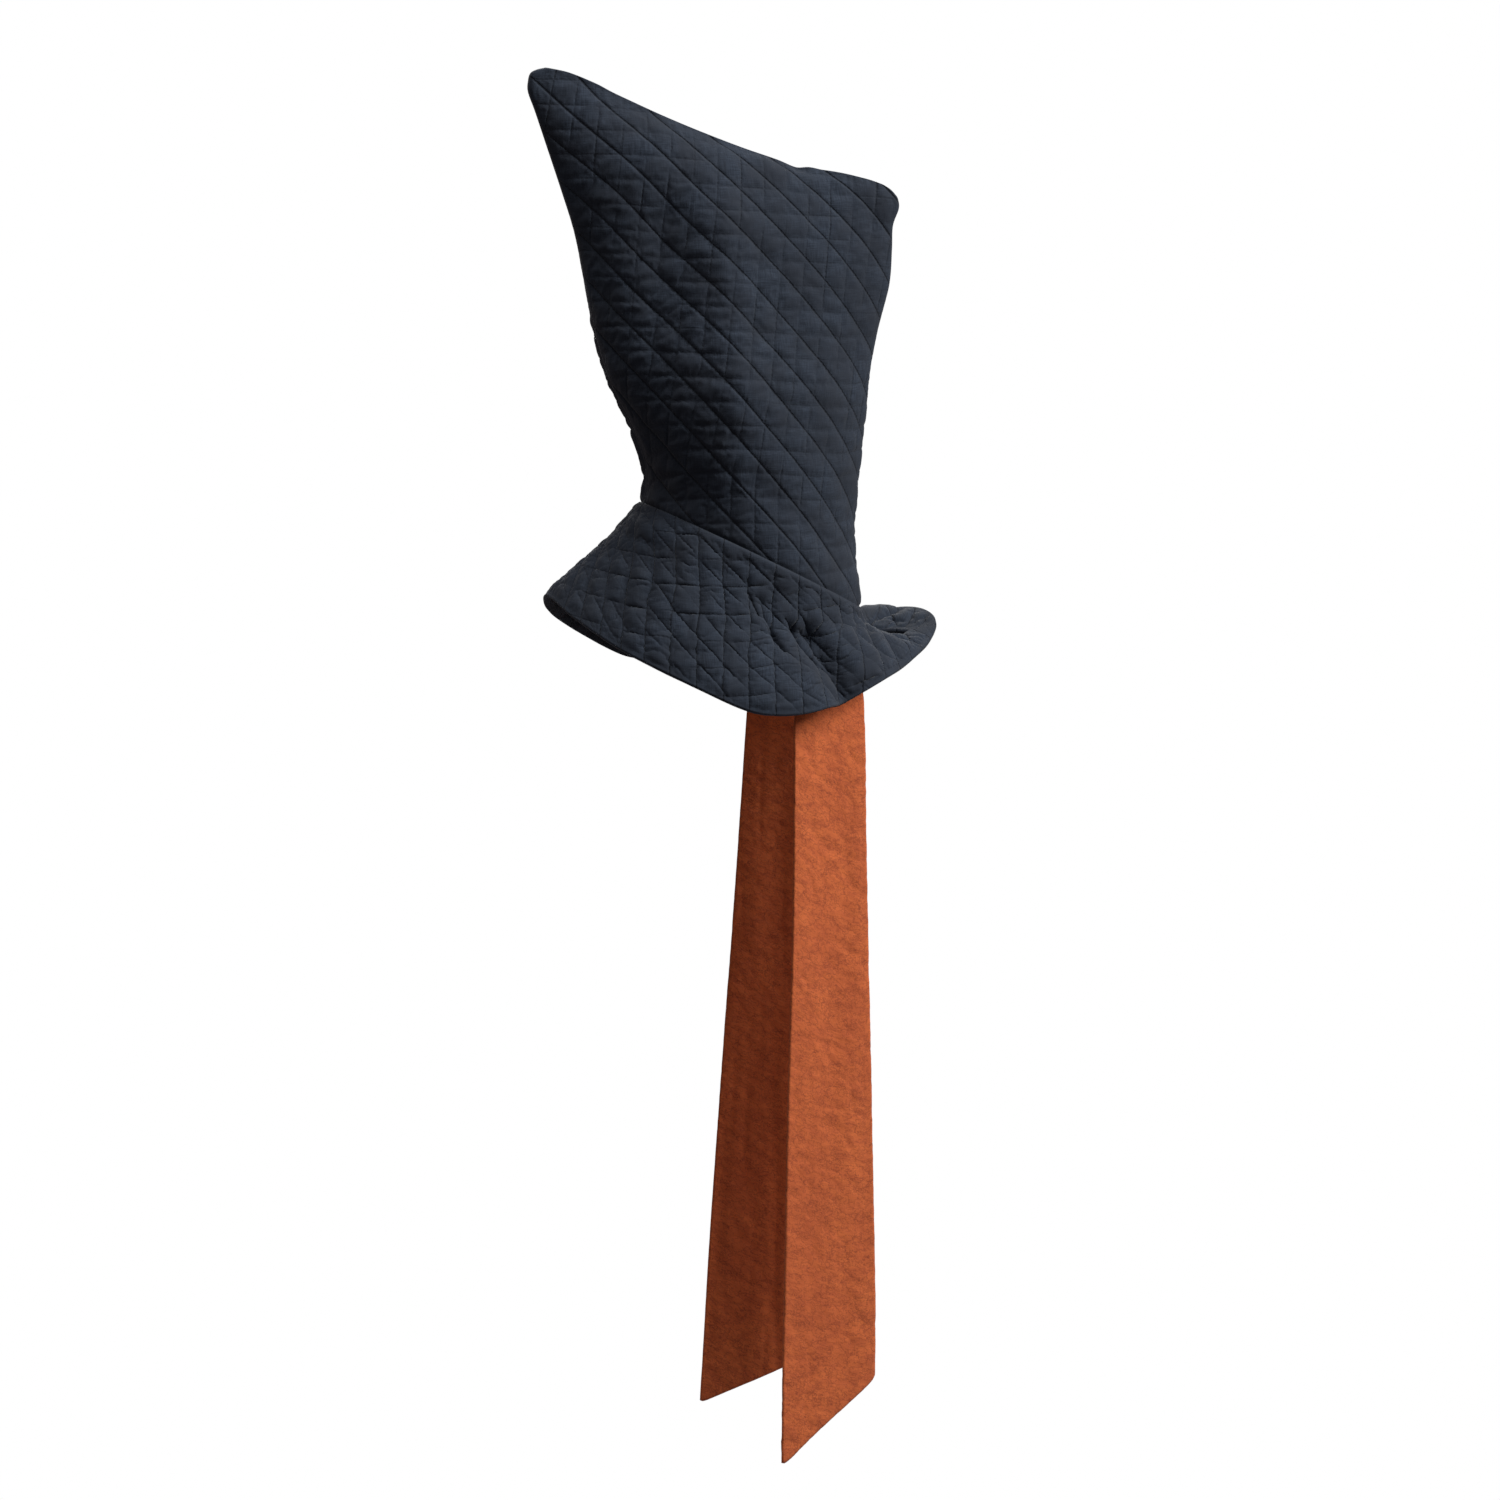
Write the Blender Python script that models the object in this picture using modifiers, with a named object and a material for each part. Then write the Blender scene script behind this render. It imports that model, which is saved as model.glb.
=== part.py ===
"""Child's quilted wizard hat: two side panels, a quilted brim and two long cotton ties.

+Z is up, the peak points to -X (front) and the wearer's left side is -Y.
The origin is the centre of the oval that sits on the head.
Tables are in millimetres. The built objects are in metres.
"""
from math import pi

import bmesh
import bpy
import numpy as np

MM = 0.001
WALL = 3.5          # quilted cotton with its wadding
SEAM = 0.15         # half of the gap between the two side panels
GAP = 0.3           # gap between any two sewn pieces
TIE_GAP = 0.7       # the same behind a tie, which spans the facets of the wall
TIE = 1.4           # two layers of plain cotton
PROUD = 2.0         # how far the brim stands outside the crown at its seam

CROWN_ROWS, CROWN_COLS = 27, 24     # facets below the rows of TOP_SHARES, and round a panel
TIE_ROWS, TIE_COLS = 24, 6
CROWN_HEIGHT = 330.0
TOP_SHARES = (0.955, 0.975, 0.9893, 0.9968, 1.0)    # rows of facets next to the top seam
INNER_SHARE = 0.95              # where the inner face of a panel ends below the top seam
TOP_START = 0.6                 # share of a panel above which its top edge's own line shows
FOLD_START = 0.12               # share of a panel over which its folds fade in
SEAM_FADES = (0.15, 0.38)       # share of the brim over which outward and inward folds fade in
LINE_FADE = 0.35                # share of a brim fold over which it fades in above its start
LINE_STOP, LINE_TAIL = 1.5, 0.5     # where a brim fold has faded out, and over which share

# Crown sections from the head opening (first row) up to the top seam (last row).
# front_x, front_z, back_x, back_z, half_width, skew, lens
CROWN = np.array([
    (-80.5, 40.0, 80.5, -40.0, 77.5, 0.00, 1.00),
    (-77.0, 56.0, 79.0, -21.0, 75.5, 0.04, 1.02),
    (-79.8, 75.6, 77.8, -1.2, 73.5, 0.08, 1.06),
    (-90.7, 101.2, 77.9, 24.8, 71.5, 0.09, 1.12),
    (-104.5, 127.4, 80.7, 52.9, 68.5, 0.06, 1.20),
    (-113.7, 154.9, 84.1, 79.4, 63.5, 0.02, 1.28),
    (-119.8, 180.8, 88.1, 108.8, 57.5, -0.04, 1.36),
    (-125.0, 208.1, 91.3, 136.6, 49.5, -0.06, 1.44),
    (-130.9, 236.7, 97.4, 165.9, 42.5, -0.06, 1.52),
    (-140.3, 266.6, 105.8, 197.3, 35.5, -0.04, 1.58),
    (-150.3, 296.4, 107.9, 222.8, 28.5, -0.02, 1.62),
    (-158.9, 321.8, 108.6, 240.3, 21.5, 0.00, 1.66),
    (-164.0, 335.8, 113.0, 252.6, 15.0, 0.00, 1.70),
    (-163.9, 343.8, 112.5, 259.6, 10.5, 0.00, 1.70),
    (-162.2, 349.0, 110.4, 263.0, 7.4, 0.00, 1.70),
    (-157.8, 351.6, 106.4, 266.9, 5.0, 0.00, 1.70),
    (-151.0, 353.2, 101.0, 270.2, WALL, 0.00, 1.70),
])

# Height of the top seam against a straight line from the peak to the back corner.
# share of the way, height
TOP_EDGE = np.array([
    (0.00, 0.0), (0.03, 1.2), (0.06, 2.1), (0.09, 2.1), (0.12, 1.6), (0.155, 0.7), (0.19, -1.0),
    (0.235, -2.4), (0.337, -5.2), (0.448, -7.2), (0.573, -8.4), (0.68, -8.4), (0.735, -9.2),
    (0.775, -5.8), (0.81, -4.6), (0.848, -2.8), (0.885, -1.4), (0.921, -0.5), (0.958, 0.2), (1.00, 0.0),
])

# Soft folds of the side panels, as straight lines in the side view.
# x0, z0, x1, z1, inward depth, half width, length of the fade at both ends
FOLDS_LEFT = np.array([
    (-74.0, 240.0, -80.0, 125.0, 6.0, 18.0, 35.0),
    (-80.0, 125.0, -76.0, 90.0, 1.5, 16.0, 25.0),
    (-28.0, 240.0, -27.0, 122.0, -6.5, 20.0, 40.0),
    (-50.0, 46.0, -12.0, 46.0, 1.5, 20.0, 35.0),
    (60.0, 266.0, 44.0, 246.0, 2.5, 8.0, 10.0),
    (-12.0, 60.0, 50.0, 4.0, 2.0, 9.0, 20.0),
])
FOLDS_RIGHT = np.array([
    (-70.0, 220.0, -80.0, 80.0, 4.0, 14.0, 35.0),
    (-36.0, 215.0, -45.0, 80.0, -4.0, 15.0, 40.0),
    (10.0, 46.0, 60.0, -6.0, 2.5, 10.0, 20.0),
])

# Brim stations round the opening: 0 is the back, 90 the wearer's right, 180 the front, 270 the left.
# angle, edge_x, edge_y, edge_z, drop below the seam, flare before the edge, pitch of the flare
BRIM = np.array([
    (0.0, 143.5, 0.0, -52.0, 24.5, 40.0, -16.0),
    (13.0, 140.0, 26.0, -46.4, 21.5, 38.0, -15.0),
    (28.0, 125.0, 53.0, -48.8, 14.0, 30.0, 5.0),
    (45.0, 99.0, 79.0, -60.0, 14.0, 26.0, 32.0),
    (62.0, 62.0, 98.0, -75.0, 22.0, 32.0, 50.0),
    (80.0, 20.0, 112.0, -88.0, 34.0, 40.0, 62.0),
    (97.0, -18.0, 117.0, -93.0, 40.0, 44.0, 66.0),
    (117.0, -70.0, 107.0, -82.0, 40.0, 44.0, 62.0),
    (140.0, -112.0, 84.0, -61.0, 36.0, 44.0, 54.0),
    (162.0, -142.0, 46.0, -41.0, 38.0, 44.0, 44.0),
    (180.0, -152.0, 0.0, -25.8, 38.0, 44.0, 42.0),
    (198.0, -142.0, -44.0, -37.8, 38.0, 44.0, 46.0),
    (220.0, -113.2, -82.0, -59.4, 36.0, 44.0, 56.0),
    (243.0, -70.2, -108.0, -81.6, 42.0, 46.0, 66.0),
    (257.0, -32.7, -119.0, -99.1, 46.0, 48.0, 70.0),
    (266.0, -10.4, -120.0, -102.8, 46.0, 46.0, 70.0),
    (276.0, 13.1, -116.0, -102.1, 42.0, 42.0, 68.0),
    (288.0, 38.3, -106.0, -97.0, 36.0, 36.0, 64.0),
    (301.0, 60.8, -93.0, -90.7, 30.0, 30.0, 60.0),
    (319.0, 91.9, -70.0, -80.6, 22.0, 26.0, 46.0),
    (332.0, 112.5, -50.0, -71.7, 18.0, 28.0, 30.0),
    (347.0, 131.1, -25.0, -63.0, 18.0, 36.0, 0.0),
])

# Drape folds of the brim, as lines from the seam (across = 0) to the edge (across = 1).
# angle0, across0, angle1, across1, outward height, half width in degrees of turn
BRIM_FOLDS = np.array([
    (203.0, -0.10, 203.0, 0.14, 4.0, 16.0),
    (288.0, 0.42, 293.5, 0.98, -12.5, 7.5),
    (308.0, 0.45, 312.0, 1.00, 3.5, 8.0),
    (232.0, 0.15, 226.0, 1.00, 2.0, 8.0),
    (60.0, 0.20, 44.0, 0.95, -4.0, 6.0),
    (100.0, 0.20, 86.0, 1.00, 3.5, 7.0),
    (122.0, 0.20, 118.0, 1.00, -3.0, 6.0),
    (145.0, 0.25, 150.0, 1.00, 2.0, 7.0),
])
FRONT_SPREAD = 0.30             # outward share of the brim's first length below the seam
BACK_SPREAD = 0.42              # outward share of the drop at the back
FACE = 2.0                      # straight strip of the brim under the crown's lower edge
SLOT_TURN = -4.0                # angle of the slot, a little to the wearer's left of the back
SLOT_ACROSS = (0.15, 0.78)      # the slot's two ends between seam and edge
SLOT_HALF = 7.5                 # half of the slot's width in the middle
SLOT_END = 0.35                 # the same at its ends, as a share
SEAM_ROWS, SLOT_ROWS, EDGE_ROWS = 2, 6, 4   # facets of the brim before, along and after the slot
FAR_COLS, NEAR_COLS, BACK_COLS = 44, 19, 9  # facets round the brim, finer where the near side drapes
NEAR_TURN, BACK_TURN = 250.0, 320.0         # angles where those begin

# Ties below the head opening: height of the row, middle of the row, half width, turn in plan.
# z, x, y, half_width, turn
TIE_LEFT = np.array([
    (-40.0, 43.0, -59.0, 30.5, 24.0),
    (-110.0, 42.5, -64.0, 32.0, 23.0),
    (-260.0, 42.0, -68.0, 34.5, 23.0),
    (-420.0, 42.0, -70.0, 39.0, 22.0),
    (-560.0, 42.0, -70.0, 42.0, 21.0),
    (-680.0, 41.0, -70.0, 43.0, 21.0),
])
TIE_RIGHT = np.array([
    (-40.0, 49.0, 61.0, 29.0, -27.0),
    (-110.0, 47.0, 64.0, 31.0, -28.0),
    (-260.0, 41.0, 66.0, 34.8, -29.0),
    (-420.0, 33.0, 67.0, 39.2, -30.0),
    (-560.0, 26.5, 68.0, 42.4, -30.0),
    (-680.0, 21.0, 68.0, 44.0, -30.0),
])
TIE_TUCK = 18.0                 # length sewn in above the crown's lower edge
TUCK_ROWS = 3                   # facets along it
STEP_UP, STEP_ROUND = 0.01, 0.02    # small steps on the wall that give its direction
EVEN_ROWS = 0.55                # 1 for even rows of a tie, less for shorter rows near its top
TIE_SETTLE = 75.0               # length over which the tie leaves the oval of the wall
TIE_LEFT_END = (-666.0, -614.0)     # front and back corner heights
TIE_RIGHT_END = (-669.0, -624.0)


def smooth(x):
    x = np.clip(x, 0.0, 1.0)
    return x * x * (3.0 - 2.0 * x)


def curve(table, x, keys=None, period=None):
    """Smooth reading of a table's rows at x, by its keys or by the row number."""
    table = np.asarray(table, float)
    keys = np.arange(len(table), dtype=float) if keys is None else np.asarray(keys, float)
    if period:
        keys = np.concatenate([keys[-2:] - period, keys, keys[:2] + period])
        table = np.concatenate([table[-2:], table, table[:2]])
        x = x % period
    i = int(np.clip(np.searchsorted(keys, x, side="right") - 1, 0, len(keys) - 2))
    h = keys[i + 1] - keys[i]
    f = (x - keys[i]) / h

    def slope(j):
        a, b = max(j - 1, 0), min(j + 1, len(keys) - 1)
        return (table[b] - table[a]) / (keys[b] - keys[a])

    p, q = table[i], table[i + 1]
    m, n = slope(i) * h, slope(i + 1) * h
    return ((2 * f**3 - 3 * f**2 + 1) * p + (f**3 - 2 * f**2 + f) * m
            + (3 * f**2 - 2 * f**3) * q + (f**3 - f**2) * n)


def fold_depth(folds, x, z):
    total = 0.0
    for x0, z0, x1, z1, depth, half, fade in folds:
        length = np.hypot(x1 - x0, z1 - z0)
        along = ((x - x0) * (x1 - x0) + (z - z0) * (z1 - z0)) / length
        off = ((x - x0) * (z1 - z0) - (z - z0) * (x1 - x0)) / length
        ends = smooth((along + fade) / fade) * smooth((length + fade - along) / fade)
        total += depth * np.exp(-(off / half) ** 2) * ends
    return total


def crown_point(t, phi, depth, folds):
    """Point of a side panel as x, outward y, z. t is 0 at the opening and 1 at the top seam."""
    fx, fz, bx, bz, half, skew, lens = curve(CROWN, t * (len(CROWN) - 1))
    length = np.hypot(bx - fx, bz - fz) / 2
    ux, uz = (bx - fx) / (2 * length), (bz - fz) / (2 * length)
    along = -(length - depth) * np.cos(phi)
    x, z = (fx + bx) / 2 + ux * along, (fz + bz) / 2 + uz * along
    share = along / (2 * length) + 0.5
    z += curve(TOP_EDGE, share, TOP_EDGE[:, 0])[1] * smooth((t - TOP_START) / (1.0 - TOP_START))
    turned = phi + skew * np.sin(phi)
    body = max(half - WALL, 0.0) * max(np.sin(turned), 0.0) ** lens
    body = max(body - fold_depth(folds, x, z) * np.sin(phi) ** 2 * smooth(t / FOLD_START), 0.0)
    if depth > 0:
        return x, SEAM + body, z
    near = min((length - abs(along)) / WALL, 1.0)
    top = min((1.0 - t) * CROWN_HEIGHT / WALL, 1.0)
    rounded = np.sqrt(1 - (1 - near) ** 2) * np.sqrt(1 - (1 - top) ** 2)
    return x, SEAM + body + WALL * rounded, z


def new_object(name, bm, material):
    bmesh.ops.recalc_face_normals(bm, faces=bm.faces)
    mesh = bpy.data.meshes.new(name)
    bm.to_mesh(mesh)
    bm.free()
    mesh.polygons.foreach_set("use_smooth", [True] * len(mesh.polygons))
    mesh.materials.append(material)
    obj = bpy.data.objects.new(name, mesh)
    bpy.data.collections["wizard_hat"].objects.link(obj)
    return obj


def quads(bm, grid, closed=False, skip=()):
    rows, cols = len(grid), len(grid[0])
    for i in range(rows - 1):
        for j in range(cols if closed else cols - 1):
            if (i, j) in skip:
                continue
            k = (j + 1) % cols
            bm.faces.new((grid[i][j], grid[i][k], grid[i + 1][k], grid[i + 1][j]))


def crown_panel(name, side, folds, material):
    """One quilted side panel as a closed shell: outer face, inner face and the sewn edges."""
    bm = bmesh.new()
    phis = np.linspace(0.0, pi, CROWN_COLS + 1)
    lower = np.linspace(0.0, TOP_SHARES[0], CROWN_ROWS)[:-1]
    outer_t = np.concatenate([lower, TOP_SHARES])
    inner_t = outer_t * INNER_SHARE

    def layer(ts, depth):
        grid = []
        for i, t in enumerate(ts):
            row = []
            for phi in phis:
                x, y, z = crown_point(t, phi, depth, folds)
                if depth > 0 and (i == len(ts) - 1 or phi in (phis[0], phis[-1])):
                    y = SEAM
                row.append(bm.verts.new((x * MM, side * y * MM, z * MM)))
            grid.append(row)
        return grid

    outer, inner = layer(outer_t, 0.0), layer(inner_t, WALL)
    quads(bm, outer)
    quads(bm, inner)

    def rim(grid):
        left = [row[0] for row in grid]
        right = [row[-1] for row in grid]
        return left + grid[-1][1:-1] + right[::-1] + grid[0][1:-1][::-1]

    a, b = rim(outer), rim(inner)
    for i in range(len(a)):
        j = (i + 1) % len(a)
        bm.faces.new((a[i], a[j], b[j], b[i]))
    return new_object(name, bm, material)


def rim_frame():
    """Half length of the opening, direction front to back and direction straight down out of it."""
    fx, fz, bx, bz = CROWN[0][:4]
    half = np.hypot(bx - fx, bz - fz) / 2
    along = np.array([(bx - fx) / (2 * half), 0.0, (bz - fz) / (2 * half)])
    down = np.array([along[2], 0.0, -along[0]])
    return half, along, down


def brim_row(angle):
    """The four control points of the brim's profile at one angle."""
    half, along, down = rim_frame()
    _, ex, ey, ez, drop, flare, pitch = curve(BRIM, angle, BRIM[:, 0], 360.0)
    grow = PROUD - WALL / 2
    turn = np.radians(angle)
    p0 = along * (half + grow) * np.cos(turn) + down * (GAP + FACE)
    p0 = p0 + np.array([0.0, (CROWN[0][4] + grow) * np.sin(turn), 0.0])
    edge = np.array([ex, ey, ez])
    away = np.array([ex, ey, 0.0]) / np.hypot(ex, ey)
    share = BACK_SPREAD if np.cos(turn) > 0 else FRONT_SPREAD
    first = down + away * share * abs(np.cos(turn)) ** 0.7
    p1 = p0 + drop * first / np.linalg.norm(first)
    slant = np.radians(pitch)
    p2 = edge - flare * (away * np.cos(slant) - np.array([0.0, 0.0, np.sin(slant)]))
    return p0, p1, p2, edge


def brim_point(angle, s):
    p0, p1, p2, p3 = brim_row(angle)
    r = 1 - s
    p = r**3 * p0 + 3 * r * r * s * p1 + 3 * r * s * s * p2 + s**3 * p3
    away = np.array([p3[0], p3[1], 0.0])
    away = away / np.linalg.norm(away)
    tangent = 3 * r * r * (p1 - p0) + 6 * r * s * (p2 - p1) + 3 * s * s * (p3 - p2)
    tangent = tangent / np.linalg.norm(tangent)
    out = away - tangent * np.dot(away, tangent)
    out = out / max(np.linalg.norm(out), 0.2)
    lift = 0.0
    for a0, s0, a1, s1, height, width in BRIM_FOLDS:
        f = (s - s0) / (s1 - s0)
        line = a0 + (a1 - a0) * f
        d = (angle - line + 180.0) % 360.0 - 180.0
        ends = smooth((f + LINE_FADE) / LINE_FADE) * smooth((LINE_STOP - f) / LINE_TAIL)
        lift += height * np.exp(-(d / width) ** 2) * ends
    return p + out * lift * smooth(s / (SEAM_FADES[0] if lift > 0 else SEAM_FADES[1]))


def brim_object(material):
    """The brim as one ring of cloth with the slot left open at the back, thickened both ways."""
    bm = bmesh.new()
    first_row = SEAM_ROWS + 1
    last_row = first_row + SLOT_ROWS
    across = np.concatenate([[0.0], np.linspace(0.0, SLOT_ACROSS[0], SEAM_ROWS + 1),
                             np.linspace(*SLOT_ACROSS, SLOT_ROWS + 1)[1:],
                             np.linspace(SLOT_ACROSS[1], 1.0, EDGE_ROWS + 1)[1:]])
    angles = SLOT_TURN + np.concatenate([np.linspace(0.0, NEAR_TURN, FAR_COLS + 1)[:-1],
                                         np.linspace(NEAR_TURN, BACK_TURN, NEAR_COLS + 1)[:-1],
                                         np.linspace(BACK_TURN, 360.0, BACK_COLS + 1)[:-1]])
    last_col = len(angles) - 1
    face = rim_frame()[2] * FACE
    grid = []
    for i, s in enumerate(across):
        row = []
        middle = brim_point(SLOT_TURN, s)[1]
        inside = (i - first_row) / SLOT_ROWS
        half = SLOT_HALF * (SLOT_END + (1.0 - SLOT_END) * np.sin(pi * inside))
        for j, angle in enumerate(angles):
            p = brim_point(angle, s)
            if i == 0:
                p = p - face
            if j in (1, last_col) and first_row <= i <= last_row:
                p[1] = middle + half if j == 1 else middle - half
            row.append(bm.verts.new(p * MM))
        grid.append(row)
    skip = {(i, j) for i in range(first_row, last_row) for j in (0, last_col)}
    quads(bm, grid, closed=True, skip=skip)
    loose = [v for v in bm.verts if not v.link_faces]
    bmesh.ops.delete(bm, geom=loose, context="VERTS")
    obj = new_object("brim", bm, material)
    thick = obj.modifiers.new("Thickness", "SOLIDIFY")
    thick.thickness = WALL * MM
    thick.offset = 0.0
    thick.use_even_offset = True
    thick.use_rim = True
    return obj


def tie_object(name, table, side, ends, folds, material):
    """One long tie: its top follows the crown's inner wall, its lower end is cut on a slant."""
    half, along, _ = rim_frame()
    gap = WALL + TIE_GAP + TIE / 2
    keys = -table[:, 0]
    bm = bmesh.new()
    grid = []
    for i in range(TIE_ROWS + 1):
        row = []
        for j in range(TIE_COLS + 1):
            u = -1.0 + 2.0 * j / TIE_COLS
            top = table[0]
            x_top = top[1] + u * top[3] * np.cos(np.radians(top[4]))
            turn = np.arccos(np.clip(x_top / along[0] / (half - gap), -1.0, 1.0))
            rim = along * (half - gap) * np.cos(turn)
            rim = rim + np.array([0.0, side * (CROWN[0][4] - gap) * np.sin(turn), 0.0])
            if i < TUCK_ROWS:
                t = (TUCK_ROWS - i) / TUCK_ROWS * TIE_TUCK / CROWN_HEIGHT
                phi = pi - turn
                x, y, z = crown_point(t, phi, WALL, folds)
                x1, y1, z1 = crown_point(t + STEP_UP, phi, WALL, folds)
                x2, y2, z2 = crown_point(t, phi + STEP_ROUND, WALL, folds)
                a = np.array([x1 - x, y1 - y, z1 - z])
                b = np.array([x2 - x, y2 - y, z2 - z])
                n = np.cross(a, b)
                n = n / np.linalg.norm(n)
                n = -n if n[1] > 0 else n
                p = np.array([x, y, z]) + n * (TIE_GAP + TIE / 2)
                p = np.array([p[0], side * p[1], p[2]])
            else:
                end = ends[0] + (ends[1] - ends[0]) * j / TIE_COLS
                f = (i - TUCK_ROWS) / (TIE_ROWS - TUCK_ROWS)
                f = f * (EVEN_ROWS + (1.0 - EVEN_ROWS) * f)
                z = rim[2] + (end - rim[2]) * f
                _, cx, cy, hw, plan = curve(table, max(-z, keys[0]), keys)
                plan = np.radians(plan)
                flat = np.array([cx + u * hw * np.cos(plan), cy + u * hw * np.sin(plan)])
                m = smooth((rim[2] - z) / TIE_SETTLE)
                xy = rim[:2] * (1 - m) + flat * m
                p = np.array([xy[0], xy[1], z])
            row.append(bm.verts.new(p * MM))
        grid.append(row)
    quads(bm, grid)
    obj = new_object(name, bm, material)
    thick = obj.modifiers.new("Thickness", "SOLIDIFY")
    thick.thickness = TIE * MM
    thick.offset = 0.0
    thick.use_even_offset = True
    thick.use_rim = True
    return obj


def cloth(name, color):
    material = bpy.data.materials.new(name)
    material.use_nodes = True
    shader = material.node_tree.nodes["Principled BSDF"]
    shader.inputs["Base Color"].default_value = (*color, 1.0)
    shader.inputs["Roughness"].default_value = 0.9
    material.diffuse_color = (*color, 1.0)
    return material


for old in list(bpy.data.objects):
    bpy.data.objects.remove(old)
hat = bpy.data.collections.new("wizard_hat")
bpy.context.scene.collection.children.link(hat)
NAVY = (0.028, 0.038, 0.055)
RUST = (0.42, 0.11, 0.045)
crown_panel("crown_left", -1.0, FOLDS_LEFT, cloth("navy crown left", NAVY))
crown_panel("crown_right", 1.0, FOLDS_RIGHT, cloth("navy crown right", NAVY))
brim_object(cloth("navy brim", NAVY))
tie_object("tie_left", TIE_LEFT, -1.0, TIE_LEFT_END, FOLDS_LEFT, cloth("rust tie left", RUST))
tie_object("tie_right", TIE_RIGHT, 1.0, TIE_RIGHT_END, FOLDS_RIGHT, cloth("rust tie right", RUST))
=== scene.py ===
"""Looks of the child's quilted wizard hat: the cloth, its quilting, drape and colours.

Lengths are in millimetres in the tables and in metres on the objects. +Z is up, the peak points
to -X, and the wearer's left side, which the camera sees, is -Y.
"""
from math import cos, pi, radians, sin

import bmesh
import bpy
import numpy as np
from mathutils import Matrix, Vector


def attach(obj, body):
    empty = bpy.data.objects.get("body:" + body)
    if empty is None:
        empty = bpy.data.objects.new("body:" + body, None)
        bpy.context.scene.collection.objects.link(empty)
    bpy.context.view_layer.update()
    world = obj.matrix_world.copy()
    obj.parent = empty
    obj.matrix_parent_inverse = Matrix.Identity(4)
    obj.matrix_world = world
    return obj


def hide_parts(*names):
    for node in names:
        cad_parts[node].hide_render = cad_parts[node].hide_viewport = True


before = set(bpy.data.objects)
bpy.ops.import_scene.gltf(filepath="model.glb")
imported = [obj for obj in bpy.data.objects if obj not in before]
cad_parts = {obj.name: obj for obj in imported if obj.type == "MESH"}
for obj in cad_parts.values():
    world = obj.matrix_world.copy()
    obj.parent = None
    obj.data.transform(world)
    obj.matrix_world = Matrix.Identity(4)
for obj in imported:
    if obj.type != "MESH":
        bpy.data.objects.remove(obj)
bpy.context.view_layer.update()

MM = 0.001
TINY = 1e-9             # keeps a division away from nothing
MERGE = 0.00002         # points closer than this, in metres, become one
WALL = 3.5              # quilted cotton with its wadding
SEAM = 0.004            # half of the gap between the two side panels, closed to the eye
GAP = 0.3               # gap between any two sewn pieces
TIE_GAP = 0.7           # the same behind a tie
TIE = 1.4               # two layers of plain cotton
PROUD = 2.0             # how far the brim stands outside the crown at its seam
FACE = 2.0              # straight strip of the brim under the crown's lower edge
FACE_ROW = -0.01        # the share at which that strip's upper row is counted
CROWN_HEIGHT = 330.0    # length that a panel's shares from 0 to 1 stand for
TOP_START = 0.6         # share of a panel above which its top edge's own line shows
FOLD_START = 0.12       # share of a panel over which its folds fade in
SEAM_FADES = (0.15, 0.38)           # share of the brim over which outward and inward folds fade in
LINE_FADE = 0.35                    # share of a brim fold over which it fades in above its start
LINE_STOP, LINE_TAIL = 1.5, 0.5     # where a brim fold has faded out, and over which share
STEP_UP, STEP_ROUND = 0.01, 0.02    # small steps on the wall that give its direction

# Grids of points: rows along a piece and columns round or across it.
CROWN_GRID = (226, 212)
BRIM_ROWS = 104
BRIM_COLUMNS = (150, 312)   # on the wearer's right half and on the left half
TIE_GRID = (300, 44)
TIE_TUCK_ROWS = 8           # rows of a tie inside the crown
PANEL_START = -0.0025       # a panel starts a little under its seam with the brim
PANEL_ROUND = 0.985         # share above which its top edge is rounded
ROUND_ROWS = 6              # rows on that edge
CROWDING = 0.25             # how far its columns crowd towards the front and back seams
FLAT_FROM = 0.5             # share by which they follow the panel's width and no longer its turn

# Crown sections from the head opening (first row) up to the top seam (last row).
# front_x, front_z, back_x, back_z, half_width, skew, lens
CROWN = np.array([
    (-80.5, 40.0, 80.5, -40.0, 77.5, 0.00, 1.00),
    (-77.0, 56.0, 79.0, -21.0, 75.5, 0.04, 1.02),
    (-79.8, 75.6, 77.8, -1.2, 73.5, 0.08, 1.06),
    (-90.7, 101.2, 77.9, 24.8, 71.5, 0.09, 1.12),
    (-104.5, 127.4, 80.7, 52.9, 68.5, 0.06, 1.20),
    (-113.7, 154.9, 84.1, 79.4, 63.5, 0.02, 1.28),
    (-119.8, 180.8, 88.1, 108.8, 57.5, -0.04, 1.36),
    (-125.0, 208.1, 91.3, 136.6, 49.5, -0.06, 1.44),
    (-130.9, 236.7, 97.4, 165.9, 42.5, -0.06, 1.52),
    (-140.3, 266.6, 105.8, 197.3, 35.5, -0.04, 1.58),
    (-150.3, 296.4, 107.9, 222.8, 28.5, -0.02, 1.62),
    (-158.9, 321.8, 108.6, 240.3, 21.5, 0.00, 1.66),
    (-164.0, 335.8, 113.0, 252.6, 15.0, 0.00, 1.70),
    (-163.9, 343.8, 112.5, 259.6, 10.5, 0.00, 1.70),
    (-162.2, 349.0, 110.4, 263.0, 7.4, 0.00, 1.70),
    (-157.8, 351.6, 106.4, 266.9, 5.0, 0.00, 1.70),
    (-151.0, 353.2, 101.0, 270.2, WALL, 0.00, 1.70),
])

# Height of the top seam against a straight line from the peak to the back corner.
# share of the way, height
TOP_EDGE = np.array([
    (0.00, 0.0), (0.03, 1.2), (0.06, 2.1), (0.09, 2.1), (0.12, 1.6), (0.155, 0.7), (0.19, -1.0),
    (0.235, -2.4), (0.337, -5.2), (0.448, -7.2), (0.573, -8.4), (0.68, -8.4), (0.735, -9.2),
    (0.775, -5.8), (0.81, -4.6), (0.848, -2.8), (0.885, -1.4), (0.921, -0.5), (0.958, 0.2), (1.00, 0.0),
])

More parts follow.
